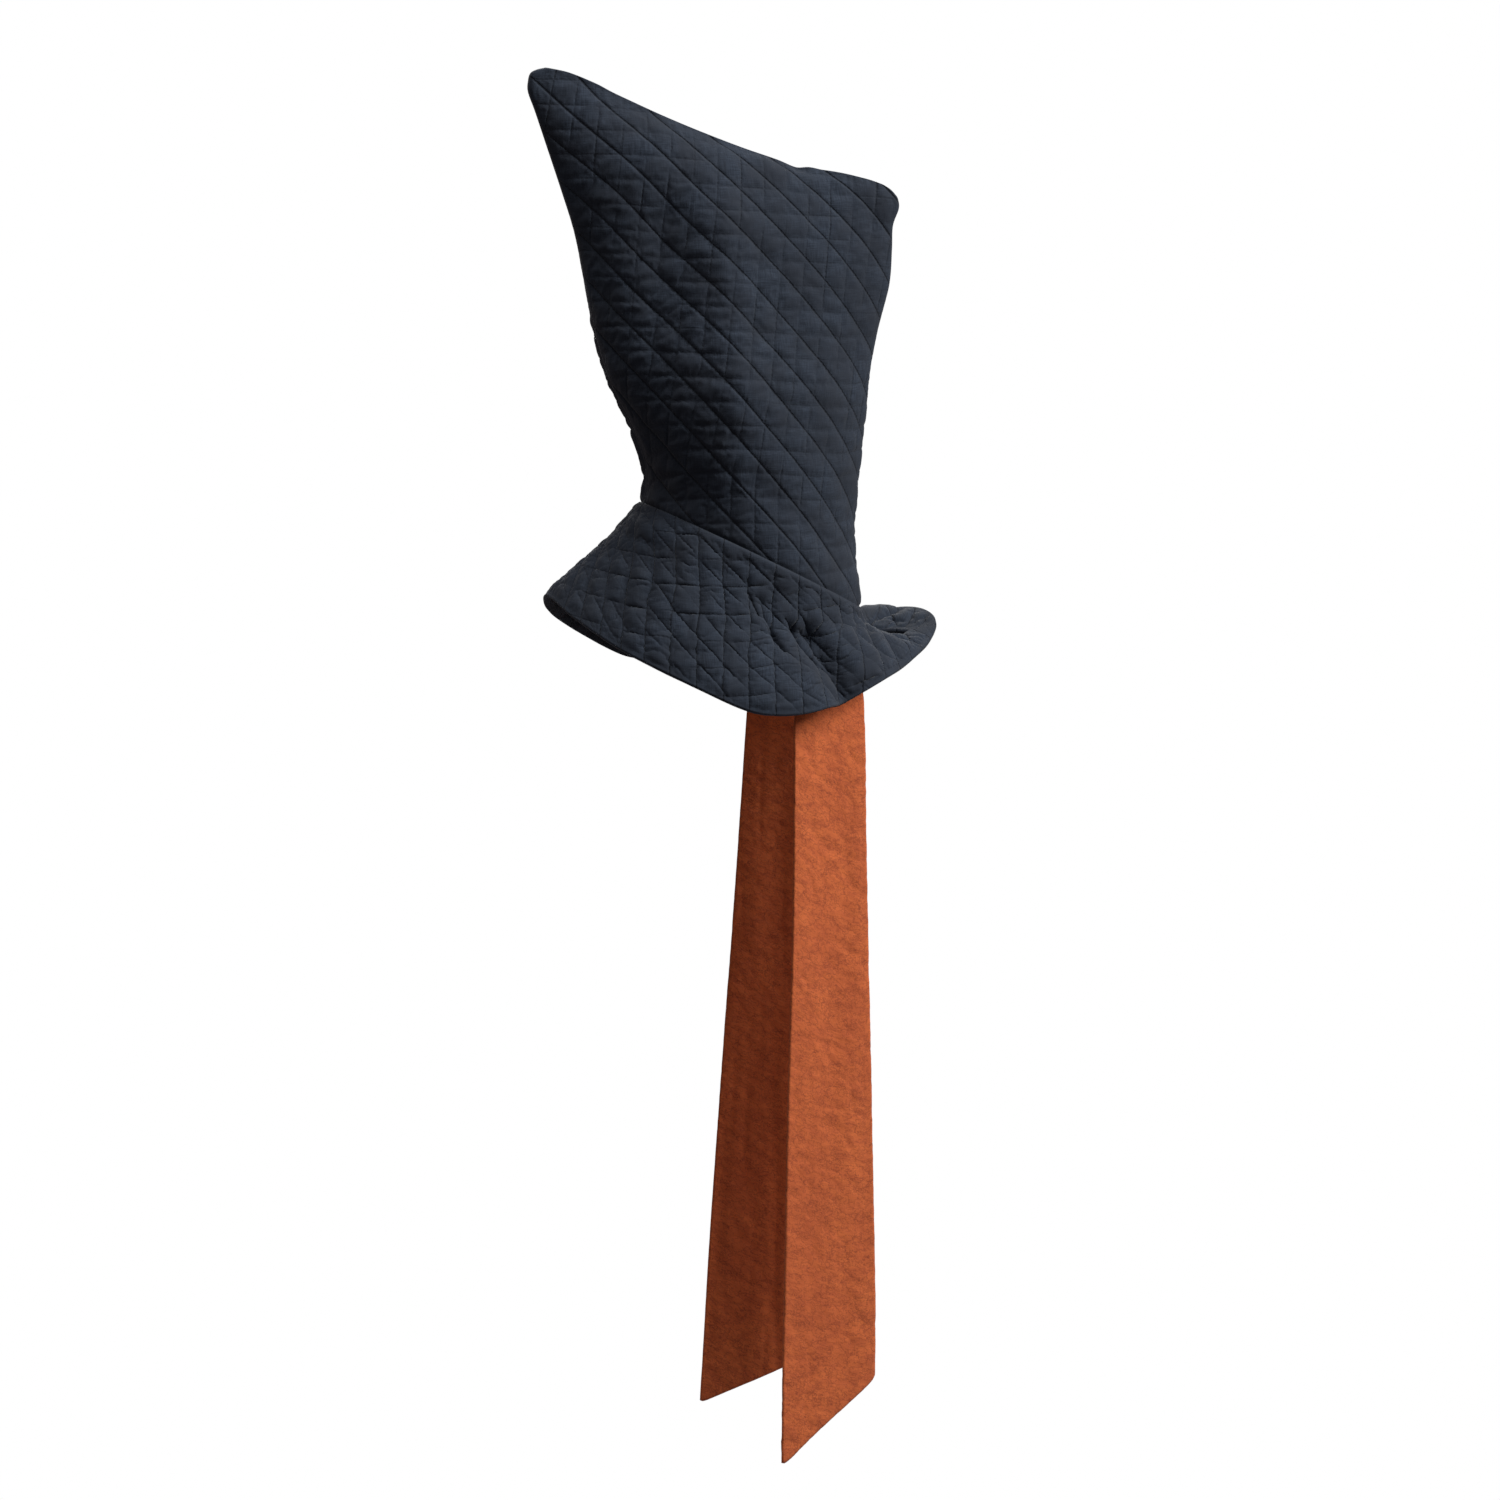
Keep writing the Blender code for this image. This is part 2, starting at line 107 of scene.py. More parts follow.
# Soft folds of the side panels, as straight lines in the side view.
# x0, z0, x1, z1, inward depth, half width, length of the fade at both ends
FOLDS_LEFT = np.array([
    (-74.0, 240.0, -80.0, 125.0, 6.0, 18.0, 35.0),
    (-80.0, 125.0, -76.0, 90.0, 1.5, 16.0, 25.0),
    (-28.0, 240.0, -27.0, 122.0, -6.5, 20.0, 40.0),
    (-50.0, 46.0, -12.0, 46.0, 1.5, 20.0, 35.0),
    (60.0, 266.0, 44.0, 246.0, 2.5, 8.0, 10.0),
    (-12.0, 60.0, 50.0, 4.0, 2.0, 9.0, 20.0),
])
FOLDS_RIGHT = np.array([
    (-70.0, 220.0, -80.0, 80.0, 4.0, 14.0, 35.0),
    (-36.0, 215.0, -45.0, 80.0, -4.0, 15.0, 40.0),
    (10.0, 46.0, 60.0, -6.0, 2.5, 10.0, 20.0),
])

# Brim stations round the opening: 0 is the back, 90 the wearer's right, 180 the front, 270 the left.
# angle, edge_x, edge_y, edge_z, drop below the seam, flare before the edge, pitch of the flare
BRIM = np.array([
    (0.0, 143.5, 0.0, -52.0, 24.5, 40.0, -16.0),
    (13.0, 140.0, 26.0, -46.4, 21.5, 38.0, -15.0),
    (28.0, 125.0, 53.0, -48.8, 14.0, 30.0, 5.0),
    (45.0, 99.0, 79.0, -60.0, 14.0, 26.0, 32.0),
    (62.0, 62.0, 98.0, -75.0, 22.0, 32.0, 50.0),
    (80.0, 20.0, 112.0, -88.0, 34.0, 40.0, 62.0),
    (97.0, -18.0, 117.0, -93.0, 40.0, 44.0, 66.0),
    (117.0, -70.0, 107.0, -82.0, 40.0, 44.0, 62.0),
    (140.0, -112.0, 84.0, -61.0, 36.0, 44.0, 54.0),
    (162.0, -142.0, 46.0, -41.0, 38.0, 44.0, 44.0),
    (180.0, -152.0, 0.0, -25.8, 38.0, 44.0, 42.0),
    (198.0, -142.0, -44.0, -37.8, 38.0, 44.0, 46.0),
    (220.0, -113.2, -82.0, -59.4, 36.0, 44.0, 56.0),
    (243.0, -70.2, -108.0, -81.6, 42.0, 46.0, 66.0),
    (257.0, -32.7, -119.0, -99.1, 46.0, 48.0, 70.0),
    (266.0, -10.4, -120.0, -102.8, 46.0, 46.0, 70.0),
    (276.0, 13.1, -116.0, -102.1, 42.0, 42.0, 68.0),
    (288.0, 38.3, -106.0, -97.0, 36.0, 36.0, 64.0),
    (301.0, 60.8, -93.0, -90.7, 30.0, 30.0, 60.0),
    (319.0, 91.9, -70.0, -80.6, 22.0, 26.0, 46.0),
    (332.0, 112.5, -50.0, -71.7, 18.0, 28.0, 30.0),
    (347.0, 131.1, -25.0, -63.0, 18.0, 36.0, 0.0),
])

# Drape folds of the brim, as lines from the seam (across = 0) to the edge (across = 1).
# angle0, across0, angle1, across1, outward height, half width in degrees of turn
BRIM_FOLDS = np.array([
    (203.0, -0.10, 203.0, 0.14, 4.0, 16.0),
    (288.0, 0.42, 293.5, 0.98, -12.5, 7.5),
    (308.0, 0.45, 312.0, 1.00, 3.5, 8.0),
    (279.5, 0.34, 285.0, 0.62, -4.0, 2.2),
    (283.5, 0.32, 288.0, 0.60, 2.0, 1.8),
    (259.0, 0.14, 265.0, 0.34, -2.6, 1.8),
    (266.5, 0.26, 271.5, 0.54, -3.6, 1.9),
    (232.0, 0.15, 226.0, 1.00, 2.0, 8.0),
    (60.0, 0.20, 44.0, 0.95, -4.0, 6.0),
    (100.0, 0.20, 86.0, 1.00, 3.5, 7.0),
    (122.0, 0.20, 118.0, 1.00, -3.0, 6.0),
    (145.0, 0.25, 150.0, 1.00, 2.0, 7.0),
])
FRONT_SPREAD = 0.30             # outward share of the brim's first length below the seam
BACK_SPREAD = 0.42              # the same at the back
SPREAD_POWER = 0.7              # below 1 the spread reaches further round to the sides
LEAST_SLOPE = 0.2               # keeps the folds low where the cloth lies level
FRONT_TURN = 178.0              # angle at which the flat cloth of the two halves meets
SEAM_SLANT = 1.2                # how far the level lines of the flat cloth follow the seam's slant
BACK_FROM = 60.0                # the slot's part of the brim lies further back than this

SLOT_TURN = -4.0                # angle of the slot, a little to the wearer's left of the back
SLOT_ACROSS = (0.06, 0.80)      # the slot's two ends between seam and edge
SLOT_HALF = 7.5                 # half of the slot's width at its widest
SLOT_LEAN, SLOT_ROUND = 0.9, 0.6    # places its widest part before the middle, rounds its ends
SLOT_SECTOR = 40.0              # degrees to both sides within which the cloth gives way
SLOT_REACH = 26.0               # width of the cloth that gives way
SLOT_STRIP = 12.0               # strip beside the slot in which the puffs fade out
SLOT_FLAT, SLOT_FADE = 2.0, 8.0     # the flat part of that strip, and the width of the fade
LIP_FAR, LIP_NEAR = 2.4, -3.0   # the far lip rolls up and the near lip sags
LIP_WIDTH = 6.0                 # width of the roll
LIP_FADE = 1.5                  # the lips stand at full height from an opening of SLOT_HALF / 1.5

# The cloth simulation that puffs the wadding out between the stitches.
PUFF_FRAMES = 12
PUFF_SCALE = 0.02               # the simulation's units in a millimetre
PUFF_SLIDE = 0.8                # most that the cloth slides along itself
PUFF_RISE = (-1.6, 2.6)         # least and most that it rises
PUFF_CLOTH = {
    "quality": 4,
    "mass": 0.2,
    "tension_stiffness": 12.0,
    "compression_stiffness": 12.0,
    "shear_stiffness": 4.0,
    "bending_stiffness": 0.08,
    "tension_damping": 8.0,
    "compression_damping": 8.0,
    "bending_damping": 0.5,
    "air_damping": 4.0,
    "vertex_group_mass": "stitches",
    "pin_stiffness": 4.0,
    "use_pressure": True,
    "uniform_pressure_force": 2.3,     # blows the cloth out
    "shrink_min": -0.06,               # makes it wider by this share
}
# How firmly the points are pinned in it, by how firmly the stitches hold them.
# weight of the pin, hold above which it is used, hold up to which it is used
PUFF_PINS = (
    (0.15, 0.08, 0.20),
    (0.30, 0.20, 0.40),
    (0.50, 0.40, 0.60),
    (0.70, 0.60, 0.85),
    (1.00, 0.85, 9.00),
)

# Ties below the head opening: height of the row, middle of the row, half width, turn in plan.
# z, x, y, half_width, turn
TIE_LEFT = np.array([
    (-40.0, 43.0, -59.0, 30.5, 24.0),
    (-110.0, 42.5, -64.0, 32.0, 23.0),
    (-260.0, 42.0, -68.0, 34.5, 23.0),
    (-420.0, 42.0, -70.0, 39.0, 22.0),
    (-560.0, 42.0, -70.0, 42.0, 21.0),
    (-680.0, 41.0, -70.0, 43.0, 21.0),
])
TIE_RIGHT = np.array([
    (-40.0, 49.0, 61.0, 29.0, -27.0),
    (-110.0, 47.0, 64.0, 31.0, -28.0),
    (-260.0, 41.0, 66.0, 34.8, -29.0),
    (-420.0, 33.0, 67.0, 39.2, -30.0),
    (-560.0, 26.5, 68.0, 42.4, -30.0),
    (-680.0, 21.0, 68.0, 44.0, -30.0),
])
TIE_TUCK = 18.0                     # length sewn in above the crown's lower edge
TIE_SETTLE = 75.0                   # length over which the tie leaves the oval of the wall
TIE_LEFT_END = (-666.0, -614.0)     # front and back corner heights
TIE_RIGHT_END = (-669.0, -624.0)
TIE_CORNER, CORNER_WIDTH = 2.5, 1.2     # how far the lower corners turn up, and over which width
WAVE_START, WAVE_FADE = 60.0, 80.0      # length down a tie from which it waves, and the fade
CREASE_FADE = 60.0                  # length over which its creases fade in

# Quilting, as families of stitched lines on the flat cloth, the deepest family first.
# turn from level, spacing, shift, groove depth, groove half width, bend, share stitched, least strength
CROWN_QUILT = np.array([
    (-49.5, 21.5, 3.0, 1.10, 2.8, 0.18, 1.00, 0.85),
    (-99.0, 18.0, 2.0, 0.60, 2.4, 0.00, 0.45, 0.00),
    (-4.0, 17.0, 6.0, 0.60, 3.4, 0.00, 0.40, 0.00),
])
BRIM_QUILT = np.array([
    (-95.0, 21.0, 3.0, 0.75, 2.2, 0.00, 0.70, 0.00),
    (0.0, 20.5, 16.0, 0.50, 2.2, 0.00, 0.15, 0.00),
    (-47.0, 14.7, 0.0, 0.45, 2.4, 0.00, 0.30, 0.00),
])
PATCH_SIZE, PATCH_REACH = 24.0, 0.85    # size of weaker patches of stitching, and how much weaker
HOLD_WIDTH = 0.8                    # half width of the strip that a line of stitches holds
CROWN_WANDER = (2.6, 75.0)          # how far the stitched lines wander, and over which length
BRIM_WANDER = (1.2, 50.0)

# Where the crown's puffs stand high: middle and reach along the hat and up, share left elsewhere.
LOFT = (-75.0, 85.0, 140.0, 120.0, 0.55)
EDGE_FLAT = 1.5                     # flat strip along a panel's front, back and top seams
EDGE_FADE, TOP_FADE = 9.0, 14.0     # fades of the puffs beside it
HEM_PUFF, HEM_FADE = 0.35, 5.0      # share of the puffs at a panel's lower edge, and the fade
BRIM_FADES = (5.0, 6.0)             # fades of the puffs at the brim's seam and at its edge
LEAST_OUTWARD = 0.35                # least sideways share of the direction in which a panel puffs
HEM_PULL = (1.1, 2.4, 4.0)          # pull of the brim's seam on a panel: depth, height, fade at its ends
THIN_EDGE = (0.3, 2.0, 10.0)        # thinner wall at a panel's seams: share, width of the strip, fade

# Rolls of the brim along its seam with the crown: distance from the seam, height, half width.
SEAM_ROLLS = (
    (3.0, 0.9, 2.6),
    (0.0, -0.7, 1.2),
)

# Random relief of the cloths: grain size across, grain size along, height.
CROWN_WRINKLES = ((17.0, 8.0, 0.55), (6.0, 4.0, 0.18))
BRIM_WRINKLES = ((15.0, 7.5, 0.30), (6.0, 4.0, 0.12))
TIE_WAVES = ((30.0, 240.0, 1.60), (16.0, 60.0, 0.50))
TIE_CREASES = ((9.0, 5.0, 0.30), (3.5, 3.0, 0.08))

# Grooves in the ties: grain size across, grain size along, depth, width in values of the grain.
TIE_LEFT_GROOVES = (
    (38.0, 24.0, 0.45, 0.09),
    (12.0, 9.0, 0.30, 0.09),
)
TIE_RIGHT_GROOVES = (
    (22.0, 260.0, 1.10, 0.25),
    (12.0, 90.0, 0.35, 0.25),
    (14.0, 9.0, 0.25, 0.09),
)

# Random fields: cells before they repeat, a shift that keeps cell numbers positive, and each use's seed.
LATTICE = 256
LATTICE_SHIFT = 1000.0
WANDER_SEED = 50
WRINKLE_SEED = 41
CREASE_SEED = 2
GROOVE_SEED = 10

# Noise of the finishes: grains per metre across and down the cloth, detail, roughness.
NAVY_SLUBS_ACROSS = (90.0, 1500.0, 3.0, 0.60)
NAVY_SLUBS_DOWN = (1500.0, 90.0, 3.0, 0.60)
NAVY_CLOUDS = (28.0, 28.0, 4.0, 0.60)
STITCH_PATCHES = (30.0, 30.0, 1.0, 0.50)
RUST_YARN_ACROSS = (120.0, 1700.0, 2.0, 0.50)
RUST_YARN_DOWN = (1700.0, 120.0, 2.0, 0.50)
RUST_CLOUDS = (22.0, 12.0, 4.0, 0.60)
RUST_MOTTLES = (70.0, 150.0, 5.0, 0.62)
RUST_CREASES = (130.0, 190.0, 6.0, 0.66)
RUST_FOLDS = (38.0, 55.0, 5.0, 0.60)

# Layers of colour over the base colours, in their order. The last two of the rust are painted shade:
# thin dark lines along its creases and folds, which count how far the noise is from its middle.
# value of the noise at which the layer is full, at which it is gone, its strength, its colour
NAVY = (0.0335, 0.0470, 0.0710, 1.0)
NAVY_LAYERS = (
    (0.62, 0.36, 1.0, (0.0155, 0.0222, 0.0350, 1.0)),
    (0.70, 0.30, 1.0, (0.0195, 0.0255, 0.0375, 1.0)),
)
RUST = (0.88, 0.215, 0.062, 1.0)
RUST_LAYERS = (
    (0.68, 0.34, 1.00, (0.74, 0.168, 0.051, 1.0)),
    (0.66, 0.36, 0.70, (0.60, 0.128, 0.044, 1.0)),
    (0.64, 0.40, 0.50, (0.66, 0.156, 0.056, 1.0)),
    # painted shade: darker lines along the creases, then along the folds
    (0.00, 0.030, 0.55, (0.30, 0.060, 0.026, 1.0)),
    (0.00, 0.014, 0.50, (0.28, 0.056, 0.026, 1.0)),
)

# The dark stitched lines of the navy cotton, their lengths in metres.
THREAD_FADE = (0.0002, 0.0011)      # distances from a line's middle at which it is full and is gone
STITCH_LENGTH = 0.0034
STITCH_FADE = (0.10, 0.34)          # the same for a stitch's dark middle, in shares of its length
STITCH_DEPTH = 0.35                 # how much darker a line is at its stitches than between them
PATCH_FADE = (0.62, 0.30)           # noise from which a patch loses lines, and up to which it has all
PATCH_LOSS = 0.9                    # share of the lines lost there, not in the first family
FAMILY_WEIGHTS = (1.0, 0.7, 0.4)    # how dark each family is
THREAD = (0.006, 0.008, 0.013, 1.0)
THREAD_STRENGTH = 0.62

# The room, in metres and watts. Turns are from the wearer's left side towards the back.
FLOOR_RADIUS, FLOOR_HEIGHT, FLOOR_SIDES = 0.8, -1.75, 96
FLOOR_COLOUR = (0.65, 0.65, 0.65, 1.0)
ROOM_COLOUR, ROOM_STRENGTH = (1.0, 0.84, 0.84, 1.0), 0.10
BACKDROP = (1.0, 1.0, 1.0, 1.0)
LIGHT_AIM = Vector((0.0, 0.0, -0.1))
LIGHT_DISTANCE = 3.0
# name, turn, rise, size, power
LIGHTS = (
    ("key", 62.0, 33.0, 1.2, 83.0),
    ("top", -60.0, 82.0, 1.6, 44.0),
    ("fill", -50.0, 25.0, 2.0, 2.6),
    ("back", 165.0, 20.0, 2.0, 45.0),
)
VIEW_TURN, VIEW_RISE = -15.0, 8.0
VIEW_TARGET = Vector((0.0, 0.0, -0.144))
VIEW_DISTANCE, VIEW_WIDTH = 3.0, 1.11   # distance of the camera, width that it shows at the hat
SENSOR_WIDTH = 36.0                     # in millimetres, as Blender counts it


def smooth(x):
    """Soft step from 0 at 0 to 1 at 1."""
    x = np.clip(x, 0.0, 1.0)
    return x * x * (3.0 - 2.0 * x)


def curve(table, x, keys=None, period=None):
    """Smooth reading of a table's rows at x, by its keys or by the row number."""
    table = np.asarray(table, float)
    keys = np.arange(len(table), dtype=float) if keys is None else np.asarray(keys, float)
    x = np.atleast_1d(np.asarray(x, float))
    if period:
        keys = np.concatenate([keys[-2:] - period, keys, keys[:2] + period])
        table = np.concatenate([table[-2:], table, table[:2]])
        x = x % period
    last = len(keys) - 1
    slopes = np.array([(table[min(j + 1, last)] - table[max(j - 1, 0)])
                       / (keys[min(j + 1, last)] - keys[max(j - 1, 0)]) for j in range(last + 1)])
    i = np.clip(np.searchsorted(keys, x, side="right") - 1, 0, last - 1)
    h = (keys[i + 1] - keys[i])[:, None]
    f = (x - keys[i])[:, None] / h
    return ((2 * f**3 - 3 * f**2 + 1) * table[i] + (f**3 - 2 * f**2 + f) * slopes[i] * h
            + (3 * f**2 - 2 * f**3) * table[i + 1] + (f**3 - f**2) * slopes[i + 1] * h)


def noise(u, v, size_u, size_v, seed):
    """Smooth random field from -1 to 1 with the given grain sizes."""
    lattice = np.random.default_rng(seed).uniform(-1.0, 1.0, (LATTICE + 1, LATTICE + 1))
    p, q = u / size_u + LATTICE_SHIFT, v / size_v + LATTICE_SHIFT
    i, j = np.floor(p).astype(int), np.floor(q).astype(int)
    a, b = smooth(p - i), smooth(q - j)
    i, j = i % LATTICE, j % LATTICE
    low = lattice[i, j] * (1 - a) + lattice[i + 1, j] * a
    high = lattice[i, j + 1] * (1 - a) + lattice[i + 1, j + 1] * a
    return low * (1 - b) + high * b


def relief(u, v, grains, seed):
    """Height of random relief, one field for each row of its table."""
    return sum(height * noise(u, v, size_u, size_v, seed + k)
               for k, (size_u, size_v, height) in enumerate(grains))


def wandering(u, v, wander, seed):
    """Flat places moved a little, so that the stitched lines wander."""
    reach, size = wander
    u = u + reach * noise(u, v, size, size, seed + WANDER_SEED)
    v = v + reach * noise(u, v, size, size, seed + WANDER_SEED + 1)
    return u, v


def unit(vectors):
    """The vectors at length 1."""
    return vectors / np.maximum(np.linalg.norm(vectors, axis=-1, keepdims=True), TINY)


def row_lengths(points):
    """Length along each row of a grid of points, from its first column."""
    steps = np.linalg.norm(np.diff(points, axis=1), axis=2)
    return np.concatenate([np.zeros((len(points), 1)), np.cumsum(steps, axis=1)], 1)


def column_lengths(points):
    """Length down each column of a grid of points, from its first row."""
    return row_lengths(points.swapaxes(0, 1)).T


def fold_depth(folds, x, z):
    """How far the folds push a side panel in at the places x, z of its side view."""
    total = np.zeros_like(x)
    for x0, z0, x1, z1, depth, half, fade in folds:
        length = np.hypot(x1 - x0, z1 - z0)
        along = ((x - x0) * (x1 - x0) + (z - z0) * (z1 - z0)) / length
        off = ((x - x0) * (z1 - z0) - (z - z0) * (x1 - x0)) / length
        ends = smooth((along + fade) / fade) * smooth((length + fade - along) / fade)
        total = total + depth * np.exp(-(off / half) ** 2) * ends
    return total


def crown_points(t, phi, depth, folds):
    """Points of a side panel as x, outward y, z for arrays of t (0 opening, 1 top seam) and phi."""
    row = curve(CROWN, t.ravel() * (len(CROWN) - 1)).reshape(*t.shape, 7)
    fx, fz, bx, bz, half, skew, lens = np.moveaxis(row, -1, 0)
    length = np.hypot(bx - fx, bz - fz) / 2
    ux, uz = (bx - fx) / (2 * length), (bz - fz) / (2 * length)
    along = -(length - depth) * np.cos(phi)
    x, z = (fx + bx) / 2 + ux * along, (fz + bz) / 2 + uz * along
    share = along / (2 * length) + 0.5
    lift = curve(TOP_EDGE, share.ravel(), TOP_EDGE[:, 0])[:, 1].reshape(t.shape)
    z = z + lift * smooth((t - TOP_START) / (1.0 - TOP_START))
    turned = phi + skew * np.sin(phi)
    body = np.maximum(half - WALL, 0.0) * np.maximum(np.sin(turned), 0.0) ** lens
    sunk = fold_depth(folds, x, z) * np.sin(phi) ** 2 * smooth(t / FOLD_START)
    body = np.maximum(body - sunk, 0.0)
    if depth > 0:
        return np.stack([x, SEAM + body, z], -1)
    near = np.clip((length - np.abs(along)) / WALL, 0.0, 1.0)
    top = np.clip((1.0 - t) * CROWN_HEIGHT / WALL, 0.0, 1.0)
    rounded = np.sqrt(1 - (1 - near) ** 2) * np.sqrt(1 - (1 - top) ** 2)
    return np.stack([x, SEAM + body + WALL * rounded, z], -1)


def grid_normals(points, side):
    """Unit normals of a grid of points, pointing to the given side of Y."""
    n = unit(np.cross(np.gradient(points, axis=0), np.gradient(points, axis=1)))
    return n if np.sum(n[..., 1]) * side > 0 else -n


def line_distance(u, v, family):
    """Distance of flat places from the nearest stitched line of a family."""
    turn, spacing, shift, bend = radians(family[0]), family[1], family[2], family[5]
    along = u * cos(turn) + v * sin(turn)
    across = -u * sin(turn) + v * cos(turn) + shift + bend * MM * along ** 2
    cell = across / spacing
    return np.abs(cell - np.round(cell)) * spacing


def stitched(u, v, families, seed):
    """Depth to which the stitches pull the cloth in, and how firmly they hold it there."""
    drop = np.zeros_like(u)
    hold = np.zeros_like(u)
    for k, family in enumerate(families):
        depth, half, share, least = family[3], family[4], family[6], family[7]
        away = line_distance(u, v, family)
        patchy = share + PATCH_REACH * noise(u, v, PATCH_SIZE, PATCH_SIZE, seed + k)
        strength = np.maximum(np.clip(patchy, 0.0, 1.0), least)
        drop = np.maximum(drop, depth * strength * np.exp(-(away / (0.5 * half)) ** 2))
        hold = np.maximum(hold, strength * (away < HOLD_WIDTH))
    return drop, hold


def puffed(base, normal, start, hold, calm):
    """Lets the wadding puff the cloth out between its stitches: a cloth simulation of the grid of points.

    start is the offset along the normal at which the stitches hold the cloth, hold how firmly,
    and calm is 0 where nothing may puff. Gives the offset of every point from base.
    """
    mesh, i, j = grid_mesh("puffing", *base.shape[:2])
    begin = base + normal * start[..., None]
    mesh.vertices.foreach_set("co", (begin[i, j] * PUFF_SCALE).ravel())
    first = mesh.polygons[len(mesh.polygons) // 2]
    facing = normal[i[first.vertices[0]], j[first.vertices[0]]]
    if np.dot(np.array(first.normal), facing) < 0:
        mesh.flip_normals()
    obj = bpy.data.objects.new("puffing", mesh)
    scene = bpy.context.scene
    scene.collection.objects.link(obj)
    pins = obj.vertex_groups.new(name="stitches")
    firmness = np.maximum(hold, 1 - calm)[i, j]
    for weight, above, up_to in PUFF_PINS:
        chosen = np.nonzero((firmness > above) & (firmness <= up_to))[0]
        pins.add([int(k) for k in chosen], weight, "REPLACE")
    cloth = obj.modifiers.new("Cloth", "CLOTH")
    for key, value in PUFF_CLOTH.items():
        setattr(cloth.settings, key, value)
    cloth.settings.effector_weights.gravity = 0.0
    cloth.collision_settings.use_collision = False
    cloth.point_cache.frame_start = 1
    cloth.point_cache.frame_end = PUFF_FRAMES
    for step in range(1, PUFF_FRAMES + 1):
        scene.frame_set(step)
    settled = obj.evaluated_get(bpy.context.evaluated_depsgraph_get()).to_mesh()
    flat = np.empty(len(settled.vertices) * 3)
    settled.vertices.foreach_get("co", flat)
    moved = np.empty_like(base)
    moved[i, j] = flat.reshape(-1, 3) / PUFF_SCALE
    bpy.data.objects.remove(obj)
    bpy.data.meshes.remove(mesh)
    scene.frame_set(1)
    shift = moved - base
    rise = np.sum(shift * normal, -1)
    slide = shift - normal * rise[..., None]
    length = np.linalg.norm(slide, axis=-1)
    slide = slide * np.minimum(1.0, PUFF_SLIDE / np.maximum(length, TINY))[..., None]
    return (slide + normal * np.clip(rise, *PUFF_RISE)[..., None]) * calm[..., None]


def grid_mesh(name, rows, cols):
    """A level grid as a mesh, with the row and column of each of its vertices."""
    bm = bmesh.new()
    bmesh.ops.create_grid(bm, x_segments=cols - 1, y_segments=rows - 1, size=0.5)
    mesh = bpy.data.meshes.new(name)
    bm.to_mesh(mesh)
    bm.free()
    flat = np.empty(len(mesh.vertices) * 3)
    mesh.vertices.foreach_get("co", flat)
    flat = flat.reshape(-1, 3)
    j = np.rint((flat[:, 0] + 0.5) * (cols - 1)).astype(int)
    i = np.rint((flat[:, 1] + 0.5) * (rows - 1)).astype(int)
    return mesh, i, j


def cloth_grid(name, points, uv, thickness, centred=False, thin=None):
    """A sheet of cloth made from a grid, its points given in millimetres.

    Its wall lies inside the points, or to both sides of them where it is centred. The ends of a centred
    ring are joined. thin holds each point's share of the wall.
    """
    mesh, i, j = grid_mesh(name, *points.shape[:2])
    mesh.vertices.foreach_set("co", (points[i, j] * MM).astype(float).ravel())
    loops = np.empty(len(mesh.loops), dtype=np.int32)
    mesh.loops.foreach_get("vertex_index", loops)
    layer = mesh.uv_layers.new(name="cloth")
    layer.data.foreach_set("uv", (uv[i, j][loops] * MM).ravel())
    bm = bmesh.new()
    bm.from_mesh(mesh)
    if centred:
        bmesh.ops.remove_doubles(bm, verts=bm.verts, dist=MERGE)
    for face in bm.faces:
        face.smooth = True
    bm.to_mesh(mesh)
    bm.free()
    obj = bpy.data.objects.new(name, mesh)
    bpy.context.scene.collection.objects.link(obj)
    thick = obj.modifiers.new("Thickness", "SOLIDIFY")
    thick.thickness = thickness * MM
    thick.offset = 0.0 if centred else -1.0
    thick.use_rim = True
    if thin is not None:
        group = obj.vertex_groups.new(name="wall")
        weight = thin[i, j]
        for level in np.unique(weight):
            group.add([int(k) for k in np.nonzero(weight == level)[0]], float(level), "REPLACE")
        thick.vertex_group = "wall"
    return obj


def face_outwards(obj, outward=None):
    """Turn the faces so that they look the given way, or else away from the middle of the hat."""
    mesh = obj.data
    normals = np.empty(len(mesh.polygons) * 3)
    centres = np.empty(len(mesh.polygons) * 3)
    mesh.polygons.foreach_get("normal", normals)
    mesh.polygons.foreach_get("center", centres)
    away = centres.reshape(-1, 3) * (1.0, 1.0, 0.0)
    if outward is not None:
        away = np.broadcast_to(outward, away.shape)
    if np.sum(normals.reshape(-1, 3) * away) < 0:
        mesh.flip_normals()


def panel_places(t, run):
    """Flat places on a panel's cloth, measured along each row from its middle."""
    row = curve(CROWN, t * (len(CROWN) - 1))
    length = np.hypot(row[:, 2] - row[:, 0], row[:, 3] - row[:, 1])
    ux, uz = (row[:, 2] - row[:, 0]) / length, (row[:, 3] - row[:, 1]) / length
    off = run - run[:, -1:] / 2
    u = (row[:, 0] + row[:, 2])[:, None] / 2 + off * ux[:, None]
    v = (row[:, 1] + row[:, 3])[:, None] / 2 + off * uz[:, None]
    return u, v


